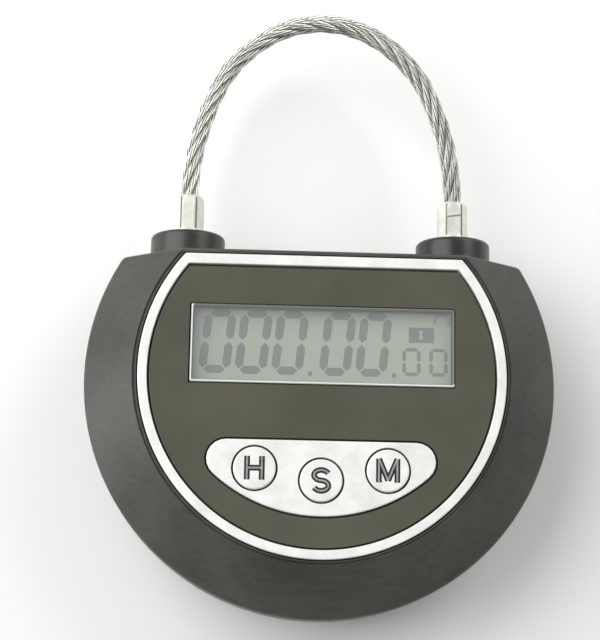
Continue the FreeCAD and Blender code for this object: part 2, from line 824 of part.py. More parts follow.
def pin_blank(side, low):
    """Pin with a stud into the ferrule, ending at a chamfered tip."""
    profile = chamfered_face([
        (0.0, low, 0),
        (pin_radius, low, pin_chamfer),
        (pin_radius, ferrule_start, 0),
        (rope_radius, ferrule_start, 0),
        (rope_radius, rope_start, 0),
        (0.0, rope_start, 0),
    ])
    turned = profile.revolve(Vector(0, 0, 0), along_y, 360)
    return turned.translated(Vector(side * shackle_half_span, 0, split_z))


def anchor_pin():
    """Pin that stays in the body; a groove near its end holds the clip."""
    pin = pin_blank(-1, clip_y - clip_thickness - pin_end)
    groove = pin_along_y(pin_radius + 1, -shackle_half_span, clip_y - clip_thickness, clip_y)
    core = pin_along_y(pin_radius - clip_groove, -shackle_half_span, clip_y - clip_thickness, clip_y)
    return pin.cut(groove.cut(core))


def anchor_clip():
    """Snap clip in the anchor pin's groove, open at the bottom."""
    low = clip_y - clip_thickness
    clip = pin_along_y(clip_radius, -shackle_half_span, low, clip_y)
    clip = clip.cut(pin_along_y(pin_radius - clip_groove, -shackle_half_span, low, clip_y))
    mouth = pin_radius - clip_groove - clip_mouth_inset
    left = -shackle_half_span - mouth
    right = -shackle_half_span + mouth
    return clip.cut(block(left, right, low, clip_y, split_z - clip_radius, split_z))


def release_pin():
    """Pin that leaves the body when unlocked; the bolt's fork takes its neck."""
    pin = pin_blank(1, pin_tip_y)
    low = bolt_y - bolt_groove_half
    high = bolt_y + bolt_groove_half
    groove = pin_along_y(pin_radius + 1, shackle_half_span, low, high)
    return pin.cut(groove.cut(pin_along_y(neck_radius, shackle_half_span, low, high)))


def release_guide():
    """Block under the release socket: bored for the pin, slotted for the bolt's nose."""
    left = shackle_half_span - guide_half_width
    right = shackle_half_span + guide_half_width
    low = split_z - guide_half_depth
    high = split_z + guide_half_depth
    body = block(left, right, guide_bottom, flange_y - fit_gap, low, high)
    long_edges = [edge for edge in body.Edges if edge.BoundBox.YLength > guide_tail]
    body = body.makeChamfer(guide_chamfer, long_edges)
    bore = pin_along_y(pin_radius + slide_gap, shackle_half_span, guide_bottom, flange_y)
    nose = bolt_nose_thickness / 2 + running_gap
    slot_end = bolt_tip_locked + running_gap
    slot_low = bolt_y - bolt_groove_half
    slot = block(left, slot_end, slot_low, bolt_y + bolt_groove_half, split_z - nose, split_z + nose)
    return body.cut(Part.makeCompound([bore, slot]))


# ---- lock mechanism ----

def involute(angle):
    """Involute function of an angle."""
    return tan(angle) - angle


def gear_blank(teeth, x, y, low, high, first_tooth):
    """Spur gear with involute flanks, one tooth centred at first_tooth (radians)."""
    pitch = gear_module * teeth / 2
    slant = radians(pressure_angle)
    base = pitch * cos(slant)
    tip = pitch + tooth_addendum * gear_module
    root = pitch - tooth_dedendum * gear_module
    half_pitch_tooth = (pi * gear_module / 2 - tooth_backlash) / (2 * pitch)

    def half_tooth(radius):
        """Half of the tooth's angle at a radius."""
        local = 0.0 if radius <= base else sqrt((radius / base) ** 2 - 1)
        return half_pitch_tooth + involute(slant) - (local - atan2(local, 1))

    def point(radius, angle):
        return Vector(x + radius * cos(angle), y + radius * sin(angle), low)

    start = max(base, root)
    radii = [start + (tip - start) * step / 3 for step in range(4)]
    edges = []
    for tooth in range(teeth):
        middle = first_tooth + 2 * pi * tooth / teeth
        following = middle + 2 * pi / teeth
        rising = [point(radius, middle - half_tooth(radius)) for radius in radii]
        falling = [point(radius, middle + half_tooth(radius)) for radius in reversed(radii)]
        root_end = half_tooth(start)
        if root < start:
            edges.append(Part.makeLine(point(root, middle - root_end), rising[0]))
        edges += flank_edges(rising)
        edges.append(Part.Arc(rising[-1], point(tip, middle), falling[0]).toShape())
        edges += flank_edges(falling)
        if root < start:
            edges.append(Part.makeLine(falling[-1], point(root, middle + root_end)))
        floor = [point(root, middle + root_end), point(root, (middle + following) / 2)]
        floor.append(point(root, following - root_end))
        edges.append(Part.Arc(*floor).toShape())
    return Part.Face(Part.Wire(edges)).extrude(Vector(0, 0, high - low))


def flank_edges(points):
    """Smooth curve through the points of a tooth flank."""
    curve = Part.BSplineCurve()
    curve.interpolate(points)
    return [curve.toShape()]


def lock_gear():
    """Compound gear: the wheel meets the motor pinion, its own pinion drives the bolt's rack."""
    pinion = gear_blank(rack_pinion_teeth, gear_x, gear_y, bolt_low_z, wheel_z, pi / 2)
    wheel = gear_blank(wheel_teeth, gear_x, gear_y, wheel_z, wheel_top_z, pi)
    body = pinion.fuse(wheel)
    return body.cut(rod(axle_radius + shaft_gap, gear_x, gear_y, bolt_low_z, wheel_top_z))


def motor_pinion():
    """Pinion pressed on the motor shaft, a gap facing the wheel."""
    top = wheel_top_z + pinion_proud
    pinion = gear_blank(motor_pinion_teeth, motor_x, gear_y, wheel_z, top, pi / motor_pinion_teeth)
    return pinion.cut(rod(axle_radius, motor_x, gear_y, wheel_z, top))


def motor_shaft():
    return rod(axle_radius, motor_x, gear_y, bracket_z - motor_length / 2, wheel_top_z + shaft_proud)


def motor():
    """Small can motor hung under the mechanism plate, with two flats and a bearing boss."""
    low = bracket_z - motor_length
    can = rod(motor_radius, motor_x, gear_y, low, bracket_z)
    left = motor_x - motor_radius
    right = motor_x + motor_radius
    flat_half = motor_radius * motor_flat
    can = can.common(block(left, right, gear_y - flat_half, gear_y + flat_half, low, bracket_z))
    pieces = [can, rod(motor_boss_radius, motor_x, gear_y, bracket_z, bracket_top_z)]
    tab_low = gear_y - terminal_width / 2
    tab_high = gear_y + terminal_width / 2
    for side in (-1, 1):
        tab_x = motor_x + side * terminal_x
        tab_right = tab_x + terminal_thickness
        pieces.append(block(tab_x, tab_right, tab_low, tab_high, low - terminal_length, low))
    body = joined(pieces)
    shaft_low = bracket_z - motor_length / 2 - running_gap
    return body.cut(rod(axle_radius + shaft_gap, motor_x, gear_y, shaft_low, bracket_top_z))


def lock_bolt():
    """Flat steel bolt: rack along its lower edge, fork at its nose."""
    high = bolt_y + bolt_width / 2
    bar_right = bolt_nose_left + bolt_nose_overlap
    bar = block(bolt_left, bar_right, rack_root_y, high, bolt_low_z, bolt_high_z)
    nose_half = bolt_nose_thickness / 2
    nose_low = split_z - nose_half
    nose_high = split_z + nose_half
    nose = block(bolt_nose_left, bolt_tip, high - bolt_width, high, nose_low, nose_high)
    fork = neck_radius + running_gap
    fork_x = shackle_half_span - bolt_travel
    slot = block(fork_x, bolt_tip, high - bolt_width, high, split_z - fork, split_z + fork)
    slot = slot.fuse(Part.makeCylinder(fork, bolt_width, Vector(fork_x, high - bolt_width, split_z), along_y))
    return joined([bar, nose.cut(slot)] + rack_teeth())


def rack_pitch():
    return pi * gear_module


def rack_right():
    """Right end of the rack's last tooth."""
    return gear_x + 1.5 * rack_pitch() + rack_root_half()


def rack_root_half():
    """Half of a rack tooth's width at its root."""
    slope = tan(radians(pressure_angle))
    return (rack_pitch() / 2 - tooth_backlash) / 2 + tooth_dedendum * gear_module * slope


def rack_teeth():
    """Six trapezoidal teeth, a gap over the gear at rest."""
    slope = tan(radians(pressure_angle))
    depth = (tooth_addendum + tooth_dedendum) * gear_module
    root_half = rack_root_half()
    tip_half = root_half - depth * slope
    teeth = []
    for index in range(-4, 2):
        middle = gear_x + (index + 0.5) * rack_pitch()
        tooth = rounded_face([
            (middle - root_half, rack_root_y, 0),
            (middle - tip_half, rack_root_y - depth, 0),
            (middle + tip_half, rack_root_y - depth, 0),
            (middle + root_half, rack_root_y, 0),
        ])
        teeth.append(plate(tooth, bolt_low_z, bolt_high_z))
    return teeth


def mechanism_plate():
    """Plate on the rear housing's posts: carries motor and axle, its rails guide the bolt."""
    rail_low = bolt_y + bolt_width / 2 + running_gap
    top = rail_low + rail_width
    outline = rounded_rectangle(bracket_left, bracket_right, bracket_bottom, top, bracket_corner)
    body = plate(outline, bracket_z, bracket_top_z)
    rail_top = bracket_top_z + rail_height
    upper_rail = block(bolt_left, bracket_right - rail_inset, rail_low, top, bracket_top_z, rail_top)
    lower_top = rack_root_y - running_gap
    lower_left = rack_right() + bolt_travel + running_gap
    lower_rail = block(lower_left, bracket_right, lower_top - rail_width, lower_top, bracket_top_z, rail_top)
    body = joined([body, upper_rail, lower_rail])
    holes = [rod(motor_boss_radius + fit_gap, motor_x, gear_y, bracket_z, bracket_top_z)]
    holes.append(rod(axle_radius, gear_x, gear_y, bracket_z, bracket_top_z))
    holes += [
        rod(bracket_screw_radius + fit_gap, x, y, bracket_z, bracket_top_z)
        for x, y in bracket_screw_places
    ]
    return body.cut(Part.makeCompound(holes))


def bracket_screws():
    """Two screws down through the mechanism plate."""
    head = (bracket_screw_head_radius, bracket_screw_head)
    screws = []
    for x, y in bracket_screw_places:
        pointing_up = screw(x, y, 0, bracket_screw_length, bracket_screw_radius, *head)
        turned = pointing_up.mirror(Vector(0, 0, 0), along_z)
        screws.append(turned.translated(Vector(0, 0, bracket_top_z + bracket_screw_head)))
    return Part.makeCompound(screws)


def gear_axle():
    return rod(axle_radius, gear_x, gear_y, bracket_z, wheel_top_z + axle_proud)


def gear_retainer():
    """Push-on washer that keeps the gear on its axle."""
    low = wheel_top_z + running_gap
    washer = rod(retainer_radius, gear_x, gear_y, low, low + retainer_thickness)
    return washer.cut(rod(axle_radius, gear_x, gear_y, low, low + retainer_thickness))


# ---- batteries and cover ----

def cell(y, direction):
    """AAA cell along X; its plus end points to direction."""
    base = bay_half_length - contact_thickness - spring_length
    profile = chamfered_face([
        (-base, 0.0, 0),
        (-base, cell_radius, cell_cut),
        (cell_length - base, cell_radius, cell_cut),
        (cell_length - base, cell_nub_radius, 0),
        (cell_length + cell_nub_length - base, cell_nub_radius, 0),
        (cell_length + cell_nub_length - base, 0.0, 0),
    ])
    turned = profile.revolve(Vector(0, 0, 0), along_x, 360)
    if direction < 0:
        turned = turned.mirror(Vector(0, 0, 0), along_x)
    return turned.translated(Vector(0, y, cell_z))


def contact_plate(y, direction):
    """Flat contact against the bay's end wall on the side that direction points to."""
    outer = bay_half_length if direction > 0 else -bay_half_length + contact_thickness
    half = cell_radius * contact_half
    return block(outer - contact_thickness, outer, y - half, y + half, cell_z - half, cell_z + half)


def spring_contact(y, direction):
    """Contact plate with a bowed leaf that presses on the cell's flat end."""
    seat = direction * (bay_half_length - contact_thickness)
    crest = seat - direction * spring_length
    low = y - leaf_half_height
    high = y + leaf_half_height
    outer = Part.Arc(Vector(seat, low, 0), Vector(crest, y, 0), Vector(seat, high, 0)).toShape()
    thin = leaf_thickness * 1.4
    hollow_crest = crest + direction * leaf_thickness
    hollow = Part.Arc(Vector(seat, high - thin, 0), Vector(hollow_crest, y, 0), Vector(seat, low + thin, 0))
    sides = [Part.makeLine(Vector(seat, high, 0), Vector(seat, high - thin, 0))]
    sides.append(Part.makeLine(Vector(seat, low + thin, 0), Vector(seat, low, 0)))
    leaf = Part.Face(Part.Wire([outer, sides[0], hollow.toShape(), sides[1]]))
    leaf = plate(leaf, cell_z - leaf_width / 2, cell_z + leaf_width / 2)
    return joined([contact_plate(y, direction), leaf])


def battery_cells():
    return Part.makeCompound([cell(upper_cell_y, 1), cell(lower_cell_y, -1)])


def spring_contacts():
    return Part.makeCompound([spring_contact(upper_cell_y, -1), spring_contact(lower_cell_y, 1)])


def plate_contacts():
    return Part.makeCompound([contact_plate(upper_cell_y, 1), contact_plate(lower_cell_y, -1)])


def battery_cover():
    """Cover flush with the back: rim on the ledges, plug in the opening, a screw tab and finger grips."""
    rim = plate(bay_outline(running_gap).fuse(cover_tab(running_gap)), 0, cover_thickness)
    plug = bay_outline(running_gap, cover_ledge + running_gap)
    body = joined([rim, plate(plug, cover_thickness, cover_thickness + cover_plug)])
    cuts = [rod(screw_radius + fit_gap, cover_tab_x, cover_screw_y, 0, cover_thickness)]
    cuts.append(rod(screw_head_radius + fit_gap, cover_tab_x, cover_screw_y, 0, cover_head_height))
    left = -bay_half_length + grip_inset
    low = (bay_top + bay_bottom - grip_length) / 2
    for index in range(grip_count):
        x = left + index * grip_pitch
        cuts.append(block(x, x + grip_width, low, low + grip_length, 0, grip_depth))
    return body.cut(Part.makeCompound(cuts))


def cover_screw():
    head = (screw_head_radius, cover_head_height)
    return screw(cover_tab_x, cover_screw_y, 0, cover_screw_length, screw_radius, *head)


# ---- the assembly, one STEP file for each node ----

nodes = {
    "front_housing": front_housing(),
    "rear_housing": rear_housing(),
    "trim_ring": trim_ring(),
    "front_panel": front_panel(),
    "display_window": display_window(),
    "button_plate": button_plate(),
    "lcd_glass": lcd_glass(),
    "lcd_frame": lcd_frame(),
    "zebra_strips": zebra_strips(),
    "circuit_board": circuit_board(),
    "board_chips": board_chips(),
    "switch_bodies": switch_bodies(),
    "board_screws": board_screws(),
    "housing_screws": housing_screws(),
    "collar_left": collar(-1),
    "collar_right": collar(1),
    "shackle_cable": shackle_cable(),
    "ferrule_left": ferrule(-1),
    "ferrule_right": ferrule(1),
    "anchor_pin": anchor_pin(),
    "anchor_clip": anchor_clip(),
    "release_pin": release_pin(),
    "release_guide": release_guide(),
    "lock_bolt": lock_bolt(),
    "lock_gear": lock_gear(),
    "motor_pinion": motor_pinion(),
    "motor_shaft": motor_shaft(),
    "motor": motor(),
    "gear_axle": gear_axle(),
    "gear_retainer": gear_retainer(),
    "mechanism_plate": mechanism_plate(),
    "bracket_screws": bracket_screws(),
    "battery_cells": battery_cells(),
    "spring_contacts": spring_contacts(),
    "plate_contacts": plate_contacts(),
    "battery_cover": battery_cover(),
    "cover_screw": cover_screw(),
}
for name, (x, y) in zip(button_names, button_places):
    nodes["button_" + name] = button_cap(x, y)
    nodes["plunger_" + name] = switch_plunger(x, y)

print("shackle lift %.2f, bolt travel %.2f" % (shackle_lift, bolt_travel))
os.makedirs("parts", exist_ok=True)
for name, shape in nodes.items():
    shape.exportStep("parts/" + name + ".step")
    state = "valid" if shape.isValid() else "INVALID"
    print("%-18s %2d solids %9.2f mm3 %s" % (name, len(shape.Solids), shape.Volume, state))
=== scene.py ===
from math import atan2, cos, pi, radians, sin, sqrt, tan

import bmesh
import bpy
from mathutils import Matrix, Vector


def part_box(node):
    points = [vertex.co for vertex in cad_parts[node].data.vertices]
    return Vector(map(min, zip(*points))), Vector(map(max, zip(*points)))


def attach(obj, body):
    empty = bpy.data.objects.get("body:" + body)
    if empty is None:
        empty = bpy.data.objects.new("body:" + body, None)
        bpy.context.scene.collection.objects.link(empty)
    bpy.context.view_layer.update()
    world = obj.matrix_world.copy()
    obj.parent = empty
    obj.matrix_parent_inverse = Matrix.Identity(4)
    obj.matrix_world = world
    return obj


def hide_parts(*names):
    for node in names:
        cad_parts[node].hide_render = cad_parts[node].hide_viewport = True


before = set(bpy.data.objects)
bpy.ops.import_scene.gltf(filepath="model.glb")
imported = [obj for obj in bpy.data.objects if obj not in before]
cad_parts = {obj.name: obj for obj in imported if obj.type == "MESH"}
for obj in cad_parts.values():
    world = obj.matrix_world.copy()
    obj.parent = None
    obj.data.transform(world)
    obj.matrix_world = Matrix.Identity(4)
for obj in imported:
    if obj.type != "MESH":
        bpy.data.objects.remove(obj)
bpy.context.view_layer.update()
mm = 0.001

# ---------------------------------------------------------------------------
# Camera: it looks down on the lock as it lies on its back, a little from the
# lower left, through a long lens.


def placed(name, data):
    """New object of some data, linked to the scene."""
    made = bpy.data.objects.new(name, data)
    bpy.context.scene.collection.objects.link(made)
    return made


camera_place = Vector((-12.5803, -44.5443, 271.3974)) * mm
camera_right = Vector((0.99901, 0.01748, 0.04082)).normalized()
camera_forward = Vector((0.03631, 0.20783, -0.97749)).normalized()
camera_up = camera_right.cross(camera_forward).normalized()
camera_right = camera_forward.cross(camera_up).normalized()

camera_data = bpy.data.cameras.new("camera")
camera_data.lens = 97.46
camera_data.sensor_width = 36.0
camera_data.clip_start = 0.01
camera_data.clip_end = 20.0
camera = placed("camera", camera_data)
camera.matrix_world = Matrix((
    (camera_right.x, camera_up.x, -camera_forward.x, camera_place.x),
    (camera_right.y, camera_up.y, -camera_forward.y, camera_place.y),
    (camera_right.z, camera_up.z, -camera_forward.z, camera_place.z),
    (0.0, 0.0, 0.0, 1.0),
))
bpy.context.scene.camera = camera

# ---------------------------------------------------------------------------
# Studio: a white table top under a white sky, one large soft lamp at the upper
# left, a low one beside it and a weaker fill at the right. The table keeps the
# lock's soft shadow.


class Signal:
    """A socket of a node tree that can be used in sums; each sum adds its Math node."""

    def __init__(self, tree, socket=None):
        self.tree = tree
        self.socket = socket

    def node(self, kind, values=None, out=0, **settings):
        """Adds any node: its settings first, then the values or links of its sockets."""
        made = self.tree.nodes.new(kind)
        for name, setting in settings.items():
            setattr(made, name, setting)
        for name, value in (values or {}).items():
            sockets = [s for s in made.inputs if s.identifier == name] or [made.inputs[name]]
            if isinstance(value, Signal):
                self.tree.links.new(value.socket, sockets[0])
            else:
                sockets[0].default_value = value
        if not made.outputs:
            return None
        outputs = [s for s in made.outputs if s.name == out]
        return Signal(self.tree, outputs[0] if outputs else made.outputs[out])

    def maths(self, operation, *others):
        """Adds a Math node whose first value is this one."""
        made = self.tree.nodes.new("ShaderNodeMath")
        made.operation = operation
        for socket, value in zip(made.inputs, (self,) + others):
            if isinstance(value, Signal):
                self.tree.links.new(value.socket, socket)
            else:
                socket.default_value = value
        return Signal(self.tree, made.outputs[0])

    def __add__(self, other):
        return self.maths("ADD", other)

    __radd__ = __add__

    def __sub__(self, other):
        return self.maths("SUBTRACT", other)

    def __rsub__(self, other):
        return (self * -1.0) + other

    def __mul__(self, other):
        return self.maths("MULTIPLY", other)

    __rmul__ = __mul__

    def __truediv__(self, other):
        return self.maths("DIVIDE", other)


def tint(red, green, blue):
    """Scene-linear colour of a colour given as it looks on a screen, 0 to 255."""
    shares = [channel / 255 for channel in (red, green, blue)]
    linear = [s / 12.92 if s <= 0.04045 else ((s + 0.055) / 1.055) ** 2.4 for s in shares]
    return (*linear, 1.0)


def new_material(name):
    """Empty node material; returns it with a Signal that adds nodes to it."""
    material = bpy.data.materials.new(name)
    material.use_nodes = True
    material.node_tree.nodes.clear()
    return material, Signal(material.node_tree)


table_material, graph = new_material("table_white")
paper = {"Base Color": tint(252, 252, 250), "Roughness": 0.8}
paper = graph.node("ShaderNodeBsdfPrincipled", paper)
graph.node("ShaderNodeOutputMaterial", {"Surface": paper})

table_half = 1.5
table_corners = [
    (x * table_half, y * table_half, 0) for x, y in ((-1, -1), (1, -1), (1, 1), (-1, 1))
]
table_mesh = bpy.data.meshes.new("table")
table_mesh.from_pydata(table_corners, [], [(0, 1, 2, 3)])
table_mesh.materials.append(table_material)
table = placed("table", table_mesh)


def soft_lamp(name, place, target, size, watts):
    """Square area lamp aimed at a point."""
    data = bpy.data.lights.new(name, "AREA")
    data.size = size
    data.energy = watts
    lamp = placed(name, data)
    lamp.location = place
    lamp.rotation_euler = (Vector(target) - Vector(place)).to_track_quat("-Z", "Y").to_euler()


soft_lamp("lamp_key", (-0.45, 0.22, 0.50), (0, 0.01, 0), 0.70, 4.6)
soft_lamp("lamp_side", (-0.60, -0.05, 0.15), (0, 0, 0.01), 0.30, 0.9)
soft_lamp("lamp_fill", (0.40, 0.35, 0.40), (0, 0.01, 0), 0.40, 1.45)

world = bpy.data.worlds.new("studio_sky")
world.use_nodes = True
world.node_tree.nodes.clear()
graph = Signal(world.node_tree)
sky = graph.node("ShaderNodeBackground", {"Color": tint(255, 255, 255), "Strength": 0.35})
graph.node("ShaderNodeOutputWorld", {"Surface": sky})
bpy.context.scene.world = world
bpy.context.scene.view_settings.view_transform = "Standard"

# ---------------------------------------------------------------------------
# Front shell: black moulded plastic with a fine spark-eroded grain. Its flank
# is a cone, and the face has a pocket for ring and panel with a fine V groove
# in its lip. It is screwed to the rear shell from behind.


def corners_of(node):
    """Lowest and highest corner of a CAD node, as vectors."""
    low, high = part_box(node)
    return Vector(low), Vector(high)


def rounded_line(corners, steps=6):
    """Points of a line through (u, v, radius) corners; a radius above 0 makes an arc."""
    points = []
    for index, (u, v, radius) in enumerate(corners):
        here = Vector((u, v))
        if radius == 0:
            points.append(here)
            continue
        before = (Vector(corners[index - 1][:2]) - here).normalized()
        after = (Vector(corners[index + 1][:2]) - here).normalized()
        half = before.angle(after) / 2
        centre = here + (before + after).normalized() * (radius / sin(half))
        first = here + before * (radius / tan(half)) - centre
        last = here + after * (radius / tan(half)) - centre
        turn = first.angle_signed(last)
        for step in range(steps + 1):
            cosine, sine = cos(-turn * step / steps), sin(-turn * step / steps)
            arm = (first.x * cosine - first.y * sine, first.x * sine + first.y * cosine)
            points.append(centre + Vector(arm))
    return points


def d_outline(radius, top, corner, centre_y=0.0, arc_steps=168, corner_steps=8):
    """Disc cut by a flat top, corners rounded, anticlockwise; top is its height over the centre."""
    corner_y = top - corner
    corner_x = sqrt((radius - corner) ** 2 - corner_y**2)
    start = atan2(corner_y, corner_x)
    points = []
    for side, first, last in ((1, start, pi / 2), (-1, pi / 2, pi - start)):
        for step in range(corner_steps + 1):
            angle = first + (last - first) * step / corner_steps
            points.append((side * corner_x + corner * cos(angle), corner_y + corner * sin(angle)))
    for step in range(1, arc_steps):
        angle = pi - start + (pi + 2 * start) * step / arc_steps
        points.append((radius * cos(angle), radius * sin(angle)))
    return [(x, y + centre_y) for x, y in points]


def disc_outline(x, y, radius, steps=64):
    """Circle, anticlockwise."""
    angles = [2 * pi * k / steps for k in range(steps)]
    return [(x + radius * cos(angle), y + radius * sin(angle)) for angle in angles]


def box_outline(x_low, x_high, y_low, y_high):
    """Rectangle, anticlockwise."""
    return [(x_low, y_low), (x_high, y_low), (x_high, y_high), (x_low, y_high)]


def loft(levels, closed=False):
    """Skin through (outline, height) levels, lowest first; closed joins the last to the first."""
    count = len(levels[0][0])
    points = [(x, y, height) for outline, height in levels for x, y in outline]
    faces = []
    if not closed:
        faces += [tuple(reversed(range(count))), tuple(range(len(points) - count, len(points)))]
    for level in range(len(levels) if closed else len(levels) - 1):
        low = level * count
        high = (low + count) % len(points)
        for k in range(count):
            following = (k + 1) % count
            faces.append((low + k, low + following, high + following, high + k))
    mesh = bpy.data.meshes.new("skin")
    mesh.from_pydata(points, [], faces)
    return mesh


def evaluated(holder):
    """Mesh of an object with its modifiers applied."""
    graph = bpy.context.evaluated_depsgraph_get()
    return bpy.data.meshes.new_from_object(holder.evaluated_get(graph))


def baked(holder, *helpers):
    """The same, and the object and its helpers are removed."""
    mesh = evaluated(holder)
    for made in (holder, *helpers):
        bpy.data.objects.remove(made)
    return mesh


def carved(blank, cutters):
    """The blank less the cutters; all of them are closed skins."""
    work = placed("blank", blank)
    tools = [placed("cutter", cutter) for cutter in cutters]
    for tool in tools:
        cut = work.modifiers.new("cut", "BOOLEAN")
        cut.operation = "DIFFERENCE"
        cut.solver = "EXACT"
        cut.object = tool
    return baked(work, *tools)


def finished(name, mesh, material, body, slot, *nodes):
    """A piece of the lock, smooth between its sharp edges; it rides a body and replaces nodes."""
    mesh.materials.clear()
    mesh.materials.append(material)
    mesh.shade_smooth()
    mesh.set_sharp_from_angle(angle=radians(32))
    piece = placed(name, mesh)
    level = piece.modifiers.new("level_faces", "WEIGHTED_NORMAL")
    level.keep_sharp = True
    piece.data = evaluated(piece)
    piece.modifiers.clear()
    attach(piece, body)
    if nodes:
        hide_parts(*nodes)


def new_surface(name):
    """Empty node material with its Signal and the place on the piece, in the piece's axes."""
    material, graph = new_material(name)
    return material, graph, graph.node("ShaderNodeTexCoord", out="Object")


def surface(graph, **values):
    """Principled surface with the given sockets, joined to the material's output."""
    sockets = {name.replace("_", " "): value for name, value in values.items()}
    shader = graph.node("ShaderNodeBsdfPrincipled", sockets)
    graph.node("ShaderNodeOutputMaterial", {"Surface": shader})


def noise(place, scale, detail=2.0, roughness=0.5):
    """Noise value, 0 to 1, at a place; scale is in patches per metre."""
    values = {"Vector": place, "Scale": scale, "Detail": detail, "Roughness": roughness}
    return place.node("ShaderNodeTexNoise", values)


def stretched(place, shares):
    """The place with each axis scaled; a small share draws a pattern out along its axis."""
    values = {"Vector": place, "Vector_001": shares}
    return place.node("ShaderNodeVectorMath", values, operation="MULTIPLY")


def shade(factor, dark, light, low=0.0, high=1.0):
    """Colour that goes from dark to light while the factor goes from low to high."""
    ramp = factor.tree.nodes.new("ShaderNodeValToRGB")
    for stop, position, colour in zip(ramp.color_ramp.elements, (low, high), (dark, light)):
        stop.position = position
        stop.color = tint(*colour)
    factor.tree.links.new(factor.socket, ramp.inputs["Fac"])
    return Signal(factor.tree, ramp.outputs["Color"])


def bump(height, distance, strength):
    """Normal disturbed by a height of 0 to 1 over that distance in metres."""
    values = {"Height": height, "Distance": distance, "Strength": strength}
    return height.node("ShaderNodeBump", values)


front_low, front_high = corners_of("front_housing")
ring_low, ring_high = corners_of("trim_ring")
window_low, window_high = corners_of("display_window")
body_radius = front_high.x
body_top = front_high.y
split_z = front_low.z
face_z = front_high.z
pocket_z = ring_low.z
floor_wall = 1.0 * mm
floor_z = pocket_z - floor_wall
shoulder_z = face_z - 7.0 * mm
shoulder_round = 1.0 * mm
plateau_radius = 27.6 * mm
plateau_round = 0.3 * mm
side_wall = 2.0 * mm
top_wall = 2.5 * mm
shoulder_wall = 0.8 * mm
body_corner = 0.9 * mm
inner_corner = 0.7 * mm
seam_relief = 0.18 * mm
ring_gap = 0.22 * mm
lip_groove = 0.24 * mm
top_bevel = 0.35 * mm
window_ledge = 0.4 * mm
stem_hole = 2.1 * mm
overrun = 1 * mm
keys = ["hours", "start", "minutes"]
key_middles = [sum(corners_of("button_" + key), Vector()) / 2 for key in keys]
flank_slope = (body_radius - plateau_radius) / (face_z - shoulder_z)
flank = rounded_line([
    (body_radius - seam_relief, split_z, 0),
    (body_radius, split_z + seam_relief, 0),
    (body_radius, shoulder_z, shoulder_round),
    (plateau_radius + top_bevel * flank_slope, face_z - top_bevel, 0),
    (plateau_radius, face_z, plateau_round),
    (plateau_radius - 0.5 * mm, face_z, 0),
])


def flat_top(height):
    """Where the flat side lies at a height: drawn in at the seam and bevelled at the face."""
    if height <= split_z:
        return body_top - seam_relief
    return body_top - max(0.0, height - face_z + top_bevel)


# The last point only gives the rounded edge its direction.
levels = [(d_outline(radius, flat_top(z), body_corner), z) for radius, z in flank[:-1]]
ring_seat = d_outline(ring_high.x + ring_gap, ring_high.y + ring_gap, inner_corner)
groove_top = ring_high.y + 0.8 * ring_gap
groove_rise = 0.03 * mm
groove = [
    (d_outline(plateau_radius - inset, groove_top - inset / 4, inner_corner), face_z + rise)
    for inset, rise in (
        (0.0, groove_rise), (2 * lip_groove, groove_rise), (lip_groove, -0.9 * lip_groove)
    )
]
window_hole = box_outline(
    window_low.x + window_ledge, window_high.x - window_ledge,
    window_low.y + window_ledge, window_high.y - window_ledge,
)
inside = d_outline(body_radius - side_wall, body_top - top_wall, inner_corner)
inside_top = d_outline(plateau_radius - side_wall, body_top - top_wall, inner_corner)
cutters = [
    loft([(ring_seat, pocket_z), (ring_seat, face_z + overrun)]),
    loft(groove, closed=True),
    loft([(window_hole, floor_z - overrun), (window_hole, face_z)]),
    loft([
        (inside, split_z - overrun), (inside, shoulder_z - shoulder_wall), (inside_top, floor_z)
    ]),
]
for middle in key_middles:
    hole = disc_outline(middle.x, middle.y, stem_hole)
    cutters.append(loft([(hole, floor_z - overrun), (hole, face_z)]))

black_plastic, graph, place = new_surface("black_plastic")
patches = noise(place, 90, 3)
grain = noise(place, 3200, 2, 0.6)
flow_lines = noise(stretched(place, (0.12, 1.0, 1.0)), 1500, 2, 0.6)
marks = patches * 0.65 + flow_lines * 0.35
surface(
    graph,
    Base_Color=shade(marks, (53, 53, 48), (74, 74, 68), 0.35, 0.65),
    Roughness=patches * 0.16 + grain * 0.12 + 0.30,
    Normal=bump(grain, 0.010 * mm, 0.7),
)

shell = carved(loft(levels), cutters)
finished("front_shell", shell, black_plastic, "lock_body", "housing_black", "front_housing")

# ---------------------------------------------------------------------------
# Rear shell: the same plastic. It carries the mechanism and the battery bay.
# The battery cover closes the bay from behind with one screw.


def smooth_copy(node):
    """The CAD node's mesh with its loose triangles merged and its stored normals left out."""
    work = bmesh.new()
    work.from_mesh(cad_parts[node].data)
    bmesh.ops.remove_doubles(work, verts=work.verts, dist=0.0005 * mm)
    mesh = bpy.data.meshes.new(node)
    work.to_mesh(mesh)
    work.free()
    if "custom_normal" in mesh.attributes:
        mesh.attributes.remove(mesh.attributes["custom_normal"])
    return mesh


for name, node, body in (
    ("rear_shell", "rear_housing", "lock_body"),
    ("bay_cover", "battery_cover", "cover"),
):
    finished(name, smooth_copy(node), black_plastic, body, "housing_black", node)

# ---------------------------------------------------------------------------
# Trim ring: a silver-painted moulding, pressed into the pocket of the face and
# standing a little proud of it.


def band(outline, profile):
    """Closed skin of a frame: outline(inset) at each (inset, height), the outside first."""
    return loft([(outline(inset), height) for inset, height in profile], closed=True)


def rounded_plate(outline, low, high, edge):
    """Closed skin of a plate whose upper edge is rounded; outline(inset) gives its shape."""
    profile = rounded_line([(0.0, low, 0), (0.0, high, edge), (1.5 * edge, high, 0)], steps=4)
    return loft([(outline(inset), height) for inset, height in profile])


